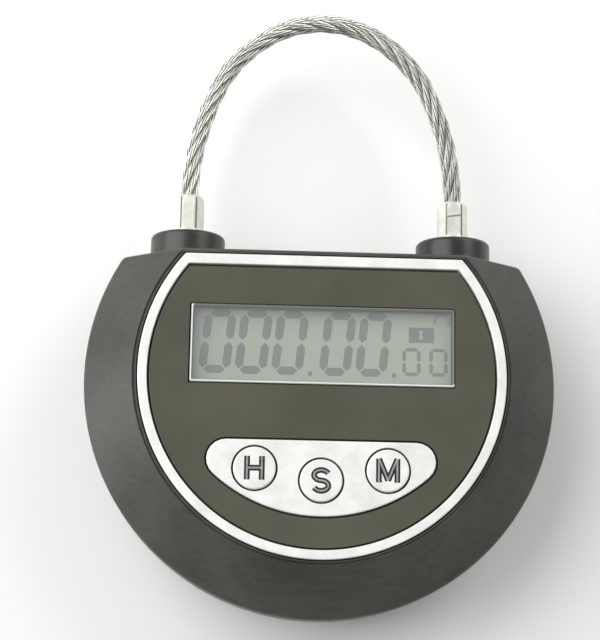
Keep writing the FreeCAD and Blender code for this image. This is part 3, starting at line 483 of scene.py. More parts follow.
def two_scales(name, dark, light, blend, broad, fine, rough, relief, metallic=0.0, shares=None):
    """Surface with broad patches of tone and a fine grain, which may be drawn out by shares.

    Broad and fine are what noise takes, blend is the part of the broad one that goes from dark
    to light, rough its weights and the base, and relief what bump takes for the fine one.
    """
    material, graph, place = new_surface(name)
    patches = noise(place, *broad)
    grain = noise(stretched(place, shares) if shares else place, *fine)
    surface(
        graph,
        Base_Color=shade(patches, dark, light, *blend),
        Metallic=metallic,
        Roughness=patches * rough[0] + grain * rough[1] + rough[2],
        Normal=bump(grain, *relief),
    )
    return material


silver_paint = two_scales(
    "silver_paint", (232, 232, 227), (249, 249, 245), (0.3, 0.62),
    (260, 4, 0.65), (5200, 1), (0.15, 0.12, 0.24), (0.004 * mm, 0.5), 0.12,
)

face_corner = 0.4 * mm
ring_width = 1.35 * mm
ring_top_share = 1.13
ring_profile = rounded_line([
    (0.0, ring_low.z, 0),
    (0.0, ring_high.z, 0.20 * mm),
    (ring_width, ring_high.z, 0.12 * mm),
    (ring_width, ring_low.z, 0),
])


def ring_outline(inset):
    """Outline of the ring; the inset grows faster at the flat top, where the ring is wider."""
    return d_outline(ring_high.x - inset, ring_high.y - ring_top_share * inset, face_corner)


ring = band(ring_outline, ring_profile)
finished("ring_trim", ring, silver_paint, "lock_body", "ring_silver", "trim_ring")

# ---------------------------------------------------------------------------
# Front panel: a glossy dark olive sheet glued inside the ring, with openings
# for the display window and the button plate. Its olive-grey colour is partly
# its own tint and partly a painted reflection of the bright studio.

panel_low, panel_high = corners_of("front_panel")
plate_low, plate_high = corners_of("button_plate")
plate_radius = 23.4 * mm
plate_middle_y = plate_low.y + plate_radius
plate_corner = 2.85 * mm


def plate_outline(inset):
    """Outline of the button plate, smaller by the inset."""
    top = plate_high.y - plate_middle_y
    return d_outline(plate_radius - inset, top - inset, plate_corner - inset, plate_middle_y)


def rounded_box(x_low, x_high, y_low, y_high, corner):
    """Rectangle with rounded corners, anticlockwise."""
    points = []
    middles = [(x_high - corner, y_high - corner), (x_low + corner, y_high - corner),
               (x_low + corner, y_low + corner), (x_high - corner, y_low + corner)]
    for turn, (x, y) in enumerate(middles):
        for step in range(7):
            angle = (turn + step / 6) * pi / 2
            points.append((x + corner * cos(angle), y + corner * sin(angle)))
    return points


def window_outline(inset, corner=0.25 * mm):
    """Outline of the display window, smaller by the inset."""
    return rounded_box(
        window_low.x + inset, window_high.x - inset,
        window_low.y + inset, window_high.y - inset, corner,
    )


def panel_outline(inset):
    """Outline of the panel, smaller by the inset; it leaves a gap to the ring."""
    return d_outline(
        panel_high.x - panel_side_gap - inset, panel_high.y - panel_top_gap - inset, face_corner
    )


panel_side_gap = 0.20 * mm
panel_top_gap = 0.38 * mm
window_gap = 0.04 * mm
window_left_gap = 0.22 * mm
window_low_gap = 0.26 * mm
plate_gap = 0.27 * mm
panel_sheet = rounded_plate(panel_outline, panel_low.z, panel_high.z, 0.12 * mm)
window_seat = rounded_box(
    window_low.x - window_left_gap, window_high.x + window_gap,
    window_low.y - window_low_gap, window_high.y + window_gap, 0.25 * mm,
)
panel_cuts = [
    loft([(seat, panel_low.z - overrun), (seat, panel_high.z + overrun)])
    for seat in (window_seat, plate_outline(-plate_gap))
]

# The base colour is partly the sheet's dark olive and partly a painted reflection of the bright
# studio.
olive_tone_and_reflection = two_scales(
    "olive_tone_and_reflection", (82, 81, 69), (91, 90, 77), (0.35, 0.65),
    (60, 3, 0.6), (2400, 2), (0.06, 0.05, 0.09), (0.003 * mm, 0.3),
)

panel = carved(panel_sheet, panel_cuts)
finished("face_panel", panel, olive_tone_and_reflection, "lock_body", "panel_olive", "front_panel")

# ---------------------------------------------------------------------------
# Display window: a clear acrylic pane, set in the panel's opening over the
# liquid crystal display. Its rim is sawn; its left and lower sides carry a
# painted highlight and its top and right a painted shade.


def axis(place, name):
    """One coordinate of a place."""
    return place.node("ShaderNodeSeparateXYZ", {"Vector": place}, out=name)


pane_rim = 0.24 * mm
# Width and steepness of the band that is painted as a highlight.
lit_band_width = 0.5 * mm
lit_band_rise = 3000.0
pane = loft([(window_outline(pane_rim), window_low.z), (window_outline(pane_rim), window_high.z)])
rim = band(window_outline, [
    (0.0, window_low.z),
    (0.0, window_high.z - pane_rim / 2),
    (pane_rim / 2, window_high.z),
    (pane_rim, window_high.z),
    (pane_rim, window_low.z),
])

clear_pane, graph, place = new_surface("clear_pane")
smears = noise(place, 240, 4, 0.6)
surface(
    graph,
    Base_Color=tint(225, 232, 228),
    Roughness=smears * 0.06 + 0.02,
    Alpha=smears * 0.04 + 0.13,
    Normal=bump(smears, 0.004 * mm, 0.3),
)

rim_painted_light, graph, place = new_surface("rim_painted_light")
saw_marks = noise(place, 3000, 2)
# Painted light: a band at the rim's left and lower sides is painted near-white as a highlight, and
# the rest darker as shade.
from_left = window_low.x + lit_band_width - axis(place, "X")
from_below = window_low.y + lit_band_width - axis(place, "Y")
lit_sides = from_left.maths("MAXIMUM", from_below) * lit_band_rise
surface(
    graph,
    Base_Color=shade(lit_sides, (120, 124, 116), (250, 252, 248)),
    Roughness=saw_marks * 0.2 + 0.35,
    Normal=bump(saw_marks, 0.01 * mm, 0.5),
)

finished("window_pane", pane, clear_pane, "lock_body", "window_clear", "display_window")
finished("window_rim", rim, rim_painted_light, "lock_body", "window_clear")

# ---------------------------------------------------------------------------
# Button plate: a silver-painted plate in the panel's lower opening; three round
# holes let the key caps through.

key_gap = 0.30 * mm
key_radius = 3.05 * mm
plate_fit = 0.02 * mm
plate_blank = rounded_plate(
    lambda inset: plate_outline(plate_fit + inset), plate_low.z, plate_high.z, 0.2 * mm
)
plate_cuts = []
for middle in key_middles:
    hole = disc_outline(middle.x, middle.y, key_radius + key_gap)
    plate_cuts.append(loft([(hole, plate_low.z - overrun), (hole, plate_high.z + overrun)]))

plate = carved(plate_blank, plate_cuts)
finished("key_plate", plate, silver_paint, "lock_body", "button_silver", "button_plate")

# ---------------------------------------------------------------------------
# Key caps: three silver-painted caps, H for hours, S for start and M for minutes.
# A stem under each presses a switch on the circuit board. The letters are
# raised grey strokes with a black edge.


def turned(profile, steps, closed=False):
    """Skin of a (radius, height) profile turned about Z; going up, the outside is on its right."""
    points = []
    rings = []
    for radius, height in profile:
        if radius == 0:
            rings.append([len(points)] * steps)
            points.append((0.0, 0.0, height))
            continue
        rings.append([len(points) + k for k in range(steps)])
        points += [(x, y, height) for x, y in disc_outline(0.0, 0.0, radius, steps)]
    faces = []
    for low, high in zip(rings, rings[1:] + (rings[:1] if closed else [])):
        for k in range(steps):
            following = (k + 1) % steps
            faces.append(tuple(dict.fromkeys([low[k], low[following], high[following], high[k]])))
    mesh = bpy.data.meshes.new("turned")
    mesh.from_pydata(points, [], faces)
    return mesh


def raised_strokes(lines, width, rise):
    """Raised lines in the XY plane, round across; lines are lists of points in millimetres."""
    curve = bpy.data.curves.new("strokes", "CURVE")
    curve.dimensions = "3D"
    curve.bevel_depth = width / 2
    curve.bevel_resolution = 2
    curve.use_fill_caps = True
    for line in lines:
        spline = curve.splines.new("POLY")
        spline.points.add(len(line) - 1)
        for point, (x, y) in zip(spline.points, line):
            point.co = (x * mm, y * mm, 0, 1)
    mesh = baked(placed("strokes", curve))
    mesh.transform(Matrix.Diagonal((1, 1, 2 * rise / width, 1)))
    return mesh


def arc(x, y, across, along, first, last, steps=12):
    """Points of a round or elliptical arc, angles in degrees."""
    angles = [radians(first + (last - first) * step / steps) for step in range(steps + 1)]
    return [(x + across * cos(angle), y + along * sin(angle)) for angle in angles]


letters = {
    "hours": [
        [(-1.06, -1.70), (-1.06, 1.70)],
        [(1.06, -1.70), (1.06, 1.70)],
        [(-1.06, 0), (1.06, 0)],
    ],
    "start": [arc(0, 0.75, 1.05, 0.75, 20, 270) + arc(0, -0.75, 1.05, 0.75, 90, -160)[1:]],
    "minutes": [
        [(-1.32, -1.70), (-1.32, 1.70)],
        [(-1.32, 1.70), (0, -1.42)],
        [(0, -1.42), (1.32, 1.70)],
        [(1.32, 1.70), (1.32, -1.70)],
    ],
}

letter_layers = []
for name, dark, light, blend, base, width, rise in (
    ("black", (8, 8, 8), (20, 20, 20), (0, 1), 0.4, 0.84 * mm, 0.030 * mm),
    ("grey", (132, 132, 130), (166, 166, 162), (0.3, 0.7), 0.35, 0.34 * mm, 0.045 * mm),
):
    material, graph, place = new_surface("letter_" + name)
    fleck = noise(place, 1500, 2)
    surface(graph, Base_Color=shade(fleck, dark, light, *blend), Roughness=fleck * 0.2 + base)
    letter_layers.append((material, width, rise))

turned_sides = 96
stem_radius = 1.8 * mm
cap_height = 1.0 * mm
cap_round = 0.22 * mm
for key, middle in zip(keys, key_middles):
    low, high = corners_of("button_" + key)
    cap = rounded_line([
        (0.0, low.z, 0),
        (stem_radius, low.z, 0),
        (stem_radius, high.z - cap_height, 0),
        (key_radius, high.z - cap_height, 0),
        (key_radius, high.z, cap_round),
        (key_radius - 0.3 * mm, high.z, 0),
        (key_radius - 0.4 * mm, high.z, 0),
        (0.0, high.z, 0),
    ])
    cap = turned(cap, turned_sides)
    cap.transform(Matrix.Translation((middle.x, middle.y, 0)))
    finished("cap_" + key, cap, silver_paint, "key_" + key, "button_silver", "button_" + key)
    for layer, (material, width, rise) in zip(("edge", "core"), letter_layers):
        letter = raised_strokes(letters[key], width, rise)
        letter.transform(Matrix.Translation((middle.x, middle.y, high.z)))
        finished("letter_" + layer + "_" + key, letter, material, "key_" + key, "button_silver")

# ---------------------------------------------------------------------------
# Collars: two black moulded drums on the flat top. Their necks are clamped
# between the shells and the shackle's pins pass through them.


def along_y(mesh, x):
    """Lays a mesh turned about Z along Y, in the shackle's plane."""
    mesh.transform(Matrix.Translation((x, 0, split_z)) @ Matrix.Rotation(-pi / 2, 4, "X"))
    return mesh


collar_low, collar_high = corners_of("collar_right")
shackle_x = (collar_low.x + collar_high.x) / 2
collar_radius = collar_high.x - shackle_x
collar_end = collar_high.y
neck_radius = 4.0 * mm
flange_radius = 5.0 * mm
bore_radius = 2.3 * mm
wall_inside = body_top - top_wall
foot_bevel = 0.12 * mm

black_gloss = two_scales(
    "black_gloss", (41, 41, 40), (58, 58, 56), (0.35, 0.7),
    (130, 3), (2600, 2, 0.6), (0.14, 0.10, 0.20), (0.006 * mm, 0.5),
)

collar_profile = rounded_line([
    (bore_radius, collar_low.y, 0),
    (flange_radius, collar_low.y, 0),
    (flange_radius, wall_inside, 0),
    (neck_radius, wall_inside, 0),
    (neck_radius, body_top, 0),
    (collar_radius - foot_bevel, body_top, 0),
    (collar_radius, body_top + foot_bevel, 0),
    (collar_radius, collar_end, 0.7 * mm),
    (bore_radius, collar_end, 0.25 * mm),
    (bore_radius, collar_end - 0.5 * mm, 0),
])
for side, name in ((-1, "collar_left"), (1, "collar_right")):
    drum = along_y(turned(collar_profile, turned_sides, closed=True), side * shackle_x)
    finished(name + "_drum", drum, black_gloss, "lock_body", "collar_black", name)

# ---------------------------------------------------------------------------
# Ferrules: nickel-plated sleeves, pressed six-sided onto the rope above a round
# foot in two strokes. A dark line is painted at the crimp's edges and between
# the strokes, as painted shade in these creases. Each holds a rope end and the
# stud of a pin.

ferrule_low, ferrule_high = corners_of("ferrule_right")
ferrule_radius = ferrule_high.z - split_z
crimp_half = 2.05 * mm
rope_radius = 1.5 * mm
lip_radius = 1.62 * mm


def crimped(radius, sharpness, steps=96):
    """Outline between a circle, sharpness 0, and the crimp's hexagon with flats up and down, 1."""
    points = []
    for k in range(steps):
        angle = 2 * pi * k / steps
        from_flat = (angle + pi / 6 + pi / 2) % (pi / 3) - pi / 6
        flat = min(crimp_half / cos(from_flat), radius)
        reach = radius + (flat - radius) * sharpness
        points.append((reach * cos(angle), reach * sin(angle)))
    return points


stroke_end = 3.75 * mm
stroke_half = 1.15 * mm
stroke_edge = 0.3 * mm
stroke_tilt = 0.13
pressed_from = 0.7 * mm
pressed_to = 5.7 * mm
line_half = 0.1 * mm
line_angle = radians(4)
line_strength = 1.4
ferrule_levels = [(lip_radius, 0, 0.0)]
for inset, sharpness, rise in (
    (0.2, 0, 0.0), (0.06, 0, 0.06), (0.0, 0, 0.2), (0.0, 0.1, 0.5), (0.0, 0.8, 0.75), (0.0, 1, 1.0),
    (0.0, 1, 2.2), (0.0, 1, 3.53), (0.0, 1, 3.65), (0.06, 1, 3.75), (0.02, 1, 3.85),
    (0.02, 1, 3.97), (0.02, 1, 5.2), (0.06, 0.95, 5.6), (0.22, 0.6, 5.9), (0.45, 0.2, 6.1),
):
    ferrule_levels.append((ferrule_radius - inset * mm, sharpness, rise * mm))
ferrule_length = ferrule_high.y - ferrule_low.y
ferrule_levels += [
    (ferrule_radius - 0.58 * mm, 0, ferrule_length),
    (lip_radius, 0, ferrule_length),
    (lip_radius - 0.05 * mm, 0, 5.6 * mm),
]


def crease_shades(sleeve, with_stroke):
    """Stores the strength of the painted crease shade at each point of a standing sleeve; tilts the
    stroke's end.
    """
    lines = sleeve.attributes.new("crease_shade", "FLOAT", "POINT")
    for point, line in zip(sleeve.vertices, lines.data):
        height = point.co.z - ferrule_low.y
        from_corner = abs((atan2(point.co.y, point.co.x) + pi / 6) % (pi / 3) - pi / 6)
        strengths = [0.0]
        if pressed_from < height < pressed_to:
            strengths.append(line_strength - from_corner / line_angle)
        if with_stroke and abs(point.co.x) < stroke_half:
            strengths.append(line_strength - abs(height - stroke_end) / line_half)
        line.value = min(1.0, max(strengths))
        if abs(height - stroke_end) < stroke_edge:
            point.co.z += stroke_tilt * point.co.x
    return sleeve


def stored(graph, name):
    """Value that the mesh stores under a name."""
    return graph.node("ShaderNodeAttribute", attribute_name=name, out="Fac")


def mixed(factor, first, second):
    """Colour signal that goes to the second colour while the factor goes from 0 to 1."""
    values = {"Factor_Float": factor, "A_Color": first, "B_Color": tint(*second)}
    return factor.node("ShaderNodeMix", values, out=2, data_type="RGBA")


nickel, graph, place = new_surface("nickel_plate")
cloud = noise(place, 700, 4, 0.6)
draw_lines = noise(stretched(place, (1.0, 0.12, 1.0)), 6000, 2)
clean = shade(cloud, (226, 226, 214), (248, 248, 238), 0.3, 0.7)
# The crease lines at the crimp's edges and the stroke's step are painted near-black as shade.
surface(
    graph,
    Base_Color=mixed(stored(graph, "crease_shade"), clean, (22, 22, 19)),
    Metallic=0.40,
    Roughness=cloud * 0.18 + draw_lines * 0.14 + 0.18,
    Normal=bump(draw_lines, 0.006 * mm, 0.5),
)

ferrule_levels = [
    (crimped(radius, sharpness), ferrule_low.y + rise) for radius, sharpness, rise in ferrule_levels
]
for side, name in ((-1, "ferrule_left"), (1, "ferrule_right")):
    sleeve = crease_shades(loft(ferrule_levels, closed=True), side > 0)
    sleeve = along_y(sleeve, side * shackle_x)
    finished(name + "_sleeve", sleeve, nickel, "shackle", "ferrule_steel", name)

# ---------------------------------------------------------------------------
# Rope: a steel cable of seven strands with seven wires each, held all the way by
# its own stiffness. Each strand winds about the rope and each wire about its
# strand. Its two ends sit in the ferrules.


def rope_route(start_y, straight_end_y, bends, spacing):
    """Points from the right ferrule over the crown to the left one; bends are (radius, degrees).

    The last bend, the crown's, has its middle on the lock's centre line.
    """
    points = [(shackle_x, start_y), (shackle_x, straight_end_y)]
    heading = 0.0
    for radius, degrees in (*bends, (0.0, 90.0 - sum(bend[1] for bend in bends))):
        x, y = points[-1]
        radius = radius or x / cos(heading)
        turn = radians(degrees)
        steps = int(radius * turn / spacing)
        middle_x = x - radius * cos(heading)
        middle_y = y - radius * sin(heading)
        for step in range(1, steps + 1):
            angle = heading + turn * step / steps
            points.append((middle_x + radius * cos(angle), middle_y + radius * sin(angle)))
        heading += turn
    return points + [(-x, y) for x, y in reversed(points[:-1])]


def open_group(name, *inputs):
    """Geometry node group of one shape input and (input, kind) ones; their sockets and Signals."""
    tree = bpy.data.node_groups.new(name, "GeometryNodeTree")
    sockets = {}
    for label, kind in (("Shape", "Geometry"),) + inputs:
        kind = "NodeSocket" + kind
        made = tree.interface.new_socket(name=label, in_out="INPUT", socket_type=kind)
        sockets[label] = made.identifier
    tree.interface.new_socket(name="Result", in_out="OUTPUT", socket_type="NodeSocketGeometry")
    given = tree.nodes.new("NodeGroupInput")
    return tree, sockets, [Signal(tree, given.outputs[label]) for label in sockets]


def close_group(shape, material):
    """Ends a group with real geometry in one material."""
    shape = shape.node("GeometryNodeRealizeInstances", {"Geometry": shape})
    shape = shape.node("GeometryNodeSetMaterial", {"Geometry": shape, "Material": material})
    shape.node("NodeGroupOutput", {"Result": shape})


def run_group(group, mesh, values, *helpers):
    """Mesh that a group, (tree, sockets), makes of a mesh with the values of its inputs."""
    tree, sockets = group
    holder = placed("holder", mesh)
    maker = holder.modifiers.new("maker", "NODES")
    maker.node_group = tree
    for label, value in values.items():
        maker[sockets[label]] = value
    return baked(holder, *helpers)


def rope_maker(material):
    """Node group that lays the wires of a rope along the edges of a mesh."""
    tree, sockets, (route, spacing, rope, strand_lay, wire_lay) = open_group(
        "rope_wires", ("Spacing", "Float"), ("Rope Radius", "Float"),
        ("Strand Lay", "Float"), ("Wire Lay", "Float"),
    )
    graph = Signal(tree)
    line = graph.node("GeometryNodeMeshToCurve", {"Mesh": route})
    values = {"Curve": line, "Length": spacing}
    line = graph.node("GeometryNodeResampleCurve", values, mode="LENGTH")
    copies = tree.nodes.new("GeometryNodeDuplicateElements")
    copies.domain = "SPLINE"
    tree.links.new(line.socket, copies.inputs["Geometry"])
    copies.inputs["Amount"].default_value = members**2
    wires = Signal(tree, copies.outputs["Geometry"])
    index = Signal(tree, copies.outputs["Duplicate Index"])
    strand = (index * (1 / members) + 0.01).maths("FLOOR")
    wire = index - strand * members

    def vector(operation, first, **others):
        """Vector Math node; others are Vector_001 or Scale."""
        return graph.node("ShaderNodeVectorMath", {"Vector": first, **others}, operation=operation)

    run = graph.node("GeometryNodeSplineParameter", out="Length")
    along = graph.node("GeometryNodeInputTangent")
    across = vector("CROSS_PRODUCT", along, Vector_001=(0.0, 0.0, 1.0))

    def arm(number, lay, radius):
        """Offset from the middle for the numbered member of a lay; number 0 is its core."""
        angle = (number / (members - 1) + run / lay) * (2 * pi)
        reach = radius * number.maths("GREATER_THAN", 0.5)
        sideways = vector("SCALE", across, Scale=angle.maths("COSINE") * reach)
        rise = graph.node("ShaderNodeCombineXYZ", {"Z": angle.maths("SINE") * reach})
        return vector("ADD", sideways, Vector_001=rise)

    strand_arm = arm(strand, strand_lay, rope * (2 / 3))
    offset = vector("ADD", strand_arm, Vector_001=arm(wire, wire_lay, rope * (2 / 9)))
    wires = graph.node("GeometryNodeSetPosition", {"Geometry": wires, "Offset": offset})
    # Inner wires are marked for a painted shade; they show only in the gaps between the outer
    # wires.
    inner = 1.0 - strand.maths("GREATER_THAN", 0.5) * wire.maths("GREATER_THAN", 0.5)
    for name, value in (("wire_number", index), ("inner_wire", inner)):
        values = {"Geometry": wires, "Name": name, "Value": value}
        wires = graph.node(
            "GeometryNodeStoreNamedAttribute", values, data_type="FLOAT", domain="CURVE"
        )
    section = {"Resolution": 6, "Radius": rope * (wire_slack / 9)}
    section = graph.node("GeometryNodeCurvePrimitiveCircle", section, mode="RADIUS")
    skin = {"Curve": wires, "Profile Curve": section, "Fill Caps": True}
    close_group(graph.node("GeometryNodeCurveToMesh", skin), material)
    return tree, sockets


rope_steel, graph, place = new_surface("rope_steel")
number = stored(graph, "wire_number")
wire_shade = graph.node(
    "ShaderNodeTexWhiteNoise", {"W": number}, out="Value", noise_dimensions="1D"
)
wear = noise(place, 900, 3)
outer = shade(wear * 0.6 + wire_shade * 0.4, (206, 206, 198), (244, 244, 238), 0.3, 0.7)
# The inner wires are painted near-black: partly grease on the core, partly painted shade in the
# gaps between the outer wires.
surface(
    graph,
    Base_Color=mixed(stored(graph, "inner_wire"), outer, (20, 20, 19)),
    Metallic=0.8,
    Roughness=wear * 0.15 + wire_shade * 0.12 + 0.22,
)

members = 7
wire_slack = 0.78
rope_start = 25.0 * mm
rope_bends = ((42.0 * mm, 25.0), (20.7 * mm, 36.2))
route_points = rope_route(rope_start, ferrule_high.y, rope_bends, 0.5 * mm)
route_points = [(x, y, split_z) for x, y in route_points]
route = bpy.data.meshes.new("rope_route")
route.from_pydata(route_points, [(k, k + 1) for k in range(len(route_points) - 1)], [])
rope = run_group(rope_maker(rope_steel), route, {
    "Spacing": 0.45 * mm, "Rope Radius": rope_radius, "Strand Lay": -22 * mm, "Wire Lay": 11 * mm,
})
finished("wire_rope", rope, rope_steel, "shackle", "rope_steel", "shackle_cable")

# ---------------------------------------------------------------------------
# Pins: two turned steel pins in the ferrules' feet. The left one stays captive
# by its clip, the right one has the neck that the bolt takes.

pin_steel = two_scales(
    "pin_steel", (176, 177, 176), (214, 214, 210), (0.3, 0.7),
    (500, 3), (9000, 2), (0.1, 0.2, 0.18), (0.006 * mm, 0.4), 1.0, (0.1, 1.0, 0.1),
)

for node in ("anchor_pin", "release_pin"):
    finished(node + "_turned", smooth_copy(node), pin_steel, "shackle", "pin_steel", node)

# ---------------------------------------------------------------------------
# Display: a grey-green liquid crystal glass under the window. Its printed
# segments are seven-segment digits, two small ones for seconds, two points and
# the sign of an open padlock.


def prisms(outlines, low, high):
    """One mesh of thin prisms over several outlines in millimetres."""
    work = bmesh.new()
    for outline in outlines:
        rings = [[work.verts.new((x * mm, y * mm, z)) for x, y in outline] for z in (low, high)]
        work.faces.new(reversed(rings[0]))
        work.faces.new(rings[1])
        count = len(outline)
        for k in range(count):
            following = (k + 1) % count
            work.faces.new((rings[0][k], rings[0][following], rings[1][following], rings[1][k]))
    mesh = bpy.data.meshes.new("prisms")
    work.to_mesh(mesh)
    work.free()
    return mesh


def segment(start, end, width, gap):
    """Six-sided bar between two joints of a digit, pointed at both ends."""
    start, end = Vector(start), Vector(end)
    along = (end - start).normalized()
    aside = Vector((-along.y, along.x)) * width / 2
    first = start + along * gap
    last = end - along * gap
    shoulder = along * width / 2
    points = [
        first, first + shoulder - aside, last - shoulder - aside,
        last, last - shoulder + aside, first + shoulder + aside,
    ]
    return [tuple(point) for point in points]


def zero(x, half, low, middle, high, width, gap, slant):
    """The six outer bars of a seven-segment digit; slant leans it to the right."""
    def joint(side, y):
        return (x + side * half + (y - middle) * slant, y)

    corners = ((-1, low), (1, low), (1, middle), (1, high), (-1, high), (-1, middle))
    joints = [joint(side, y) for side, y in corners]
    return [segment(joints[k], joints[(k + 1) % 6], width, gap) for k in range(6)]


print_z = corners_of("lcd_glass")[1].z
print_rise = 0.02 * mm
outlines = []
for x in (-15.36, -10.05, -4.73, 2.26, 7.55):
    outlines += zero(x, 1.72, 0.74, 4.98, 9.12, 1.2, 0.17, 0.10)
for x in (13.11, 17.08):
    outlines += zero(x, 1.07, 0.66, 2.46, 4.30, 0.52, 0.08, 0.0)
for x in (-1.71, 10.54):
    outlines.append(rounded_box(x - 0.3, x + 0.3, 0.07, 0.73, 0.08))

keyhole_x = 14.48
skirt = [(-0.36, 5.9), (0.36, 5.9), (0.12, 6.65), (-0.12, 6.65)]
keyhole = [disc_outline(keyhole_x, 6.95, 0.27, 16), [(keyhole_x + x, y) for x, y in skirt]]
arch_x, arch_y, arch_foot = 17.57, 8.62, 8.0
arch_wide, arch_narrow = 1.28, 0.82
arch = arc(arch_x, arch_y, arch_wide, arch_wide, 0, 180)
arch += [(arch_x - arch_wide, arch_foot), (arch_x - arch_narrow, arch_foot)]
arch += arc(arch_x, arch_y, arch_narrow, arch_narrow, 180, 0)
arch += [(arch_x + arch_narrow, arch_foot), (arch_x + arch_wide, arch_foot)]
tone_width = 40 * mm


def display_tone(name, dark, light):
    """Matt tone of the display that drifts a little from left to right."""
    material, graph, place = new_surface(name)
    drift = axis(place, "X") / tone_width + 0.5
    cloud = noise(place, 180, 3)
    surface(
        graph,
        Base_Color=shade(drift * 0.6 + cloud * 0.4, dark, light, 0.2, 0.8),
        Roughness=cloud * 0.2 + 0.35,
    )
    return material


def dress(material, *nodes):
    """Gives CAD nodes a material."""
    for node in nodes:
        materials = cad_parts[node].data.materials
        materials.clear()
        materials.append(material)


lcd_tone = display_tone("lcd_tone", (153, 159, 144), (160, 166, 146))
segment_tone = display_tone("segment_tone", (68, 73, 67), (85, 90, 79))
sign_tone = display_tone("sign_tone", (67, 72, 67), (80, 84, 76))
arch_tone = display_tone("arch_tone", (118, 123, 112), (126, 131, 118))
dress(lcd_tone, "lcd_glass")
for name, shapes, rise, material in (
    ("segments", outlines, print_rise, segment_tone),
    ("open_sign", [box_outline(12.72, 16.40, 5.36, 7.65)], print_rise, sign_tone),
    ("open_arch", [arch], print_rise, arch_tone),
    ("keyhole", keyhole, 1.5 * print_rise, lcd_tone),
):
    mesh = prisms(shapes, print_z, print_z + rise)
    finished("display_" + name, mesh, material, "lock_body", "lcd_green")

# ---------------------------------------------------------------------------
# Display frame and strips: a white moulded frame carries the glass on the
# board, and two striped rubber strips in it join glass and board.


def moulded(name, dark, light, base, broad=160, fine=2600, metallic=0.0, relief=0.006 * mm):
    """Even finish of a moulded or cast part."""
    return two_scales(
        name, dark, light, (0.3, 0.7),
        (broad, 3), (fine, 2, 0.6), (0.12, 0.10, base), (relief, 0.5), metallic,
    )


strip_pitch = 0.5 * mm
strip_rubber, graph, place = new_surface("strip_rubber")
wave = (axis(place, "X") * (2 * pi / strip_pitch)).maths("SINE") * 2.0 + 0.5
surface(
    graph,
    Base_Color=shade(wave, (30, 30, 30), (196, 120, 130), 0.3, 0.7),
    Roughness=noise(place, 900, 2) * 0.2 + 0.5,
)

dress(moulded("frame_white", (214, 214, 208), (228, 228, 222), 0.45), "lcd_frame")
dress(strip_rubber, "zebra_strips")

# ---------------------------------------------------------------------------
# Circuit board: glass fibre with green lacquer over its copper tracks, and tinned
# pads. The controller under its epoxy drop, a crystal and two chips sit on it.

board_pitch = 1.1 * mm
track_half = 0.12
pad_reach = 0.07
upright_from, level_to, pad_from = 0.55, 0.4, 0.88
board_green, graph, place = new_surface("board_green")
columns = axis(place, "X") / board_pitch
rows = axis(place, "Y") / board_pitch
column, row = columns.maths("FLOOR"), rows.maths("FLOOR")
off_x = (columns - column - 0.5).maths("ABSOLUTE")
off_y = (rows - row - 0.5).maths("ABSOLUTE")
square = graph.node("ShaderNodeCombineXYZ", {"X": column, "Y": row})
chance = graph.node(
    "ShaderNodeTexWhiteNoise", {"Vector": square}, out="Value", noise_dimensions="2D"
)
upright = chance.maths("GREATER_THAN", upright_from) * off_x.maths("LESS_THAN", track_half)
level = chance.maths("LESS_THAN", level_to) * off_y.maths("LESS_THAN", track_half)
tracks = upright.maths("MAXIMUM", level)
near_middle = (off_x * off_x + off_y * off_y).maths("LESS_THAN", pad_reach)
pads = chance.maths("GREATER_THAN", pad_from) * near_middle
lacquer = shade(tracks, (20, 86, 50), (38, 118, 66), 0.2, 0.8)
surface(
    graph,
    Base_Color=mixed(pads, lacquer, (196, 198, 194)),
    Metallic=pads * 0.8,
    Roughness=noise(place, 600, 2) * 0.15 + 0.25,
    Normal=bump(tracks, 0.02 * mm, 0.5),
)

dress(board_green, "circuit_board")
dress(moulded("chip_epoxy", (22, 22, 24), (38, 38, 40), 0.42), "board_chips")
dress(moulded("switch_case", (34, 35, 38), (52, 53, 55), 0.38), "switch_bodies")
plunger_white = moulded("plunger_white", (206, 205, 196), (222, 221, 212), 0.40)
dress(plunger_white, *["plunger_" + key for key in keys])

# ---------------------------------------------------------------------------
# Screws: zinc-plated, with crosses. Four join the shells, three hold the board,
# two the mechanism plate and one the battery cover.


def cross_screw(head_radius, head_height, shank_radius, length):
    """Screw that points up: domed head with a cross at the bottom, turned thread on its shank."""
    profile = [
        (0.0, 0.0),
        (head_radius * 0.72, 0.0),
        (head_radius, head_height * 0.45),
        (head_radius, head_height),
        (shank_radius, head_height),
    ]
    pitch = 0.62 * mm
    root_radius = shank_radius * 0.80
    height = head_height + pitch
    while height < head_height + length - 2 * pitch:
        profile += [(root_radius, height), (shank_radius, height + pitch / 2)]
        height += pitch
    profile += [(root_radius, height), (0.0, head_height + length)]
    arm = head_radius * 0.64
    slot = head_radius * 0.18
    depth = head_height * 0.6
    cross = (box_outline(-arm, arm, -slot, slot), box_outline(-slot, slot, -arm, arm))
    made = carved(turned(profile, 28), [loft([(bar, -overrun), (bar, depth)]) for bar in cross])
    # The floor of the cross is marked for a painted shade in the recess.
    recess_shade = made.attributes.new("recess_shade", "FLOAT", "POINT")
    for point, value in zip(made.vertices, recess_shade.data):
        value.value = float(abs(point.co.z - depth) < 0.01 * mm and point.co.xy.length < arm * 1.1)
    return made


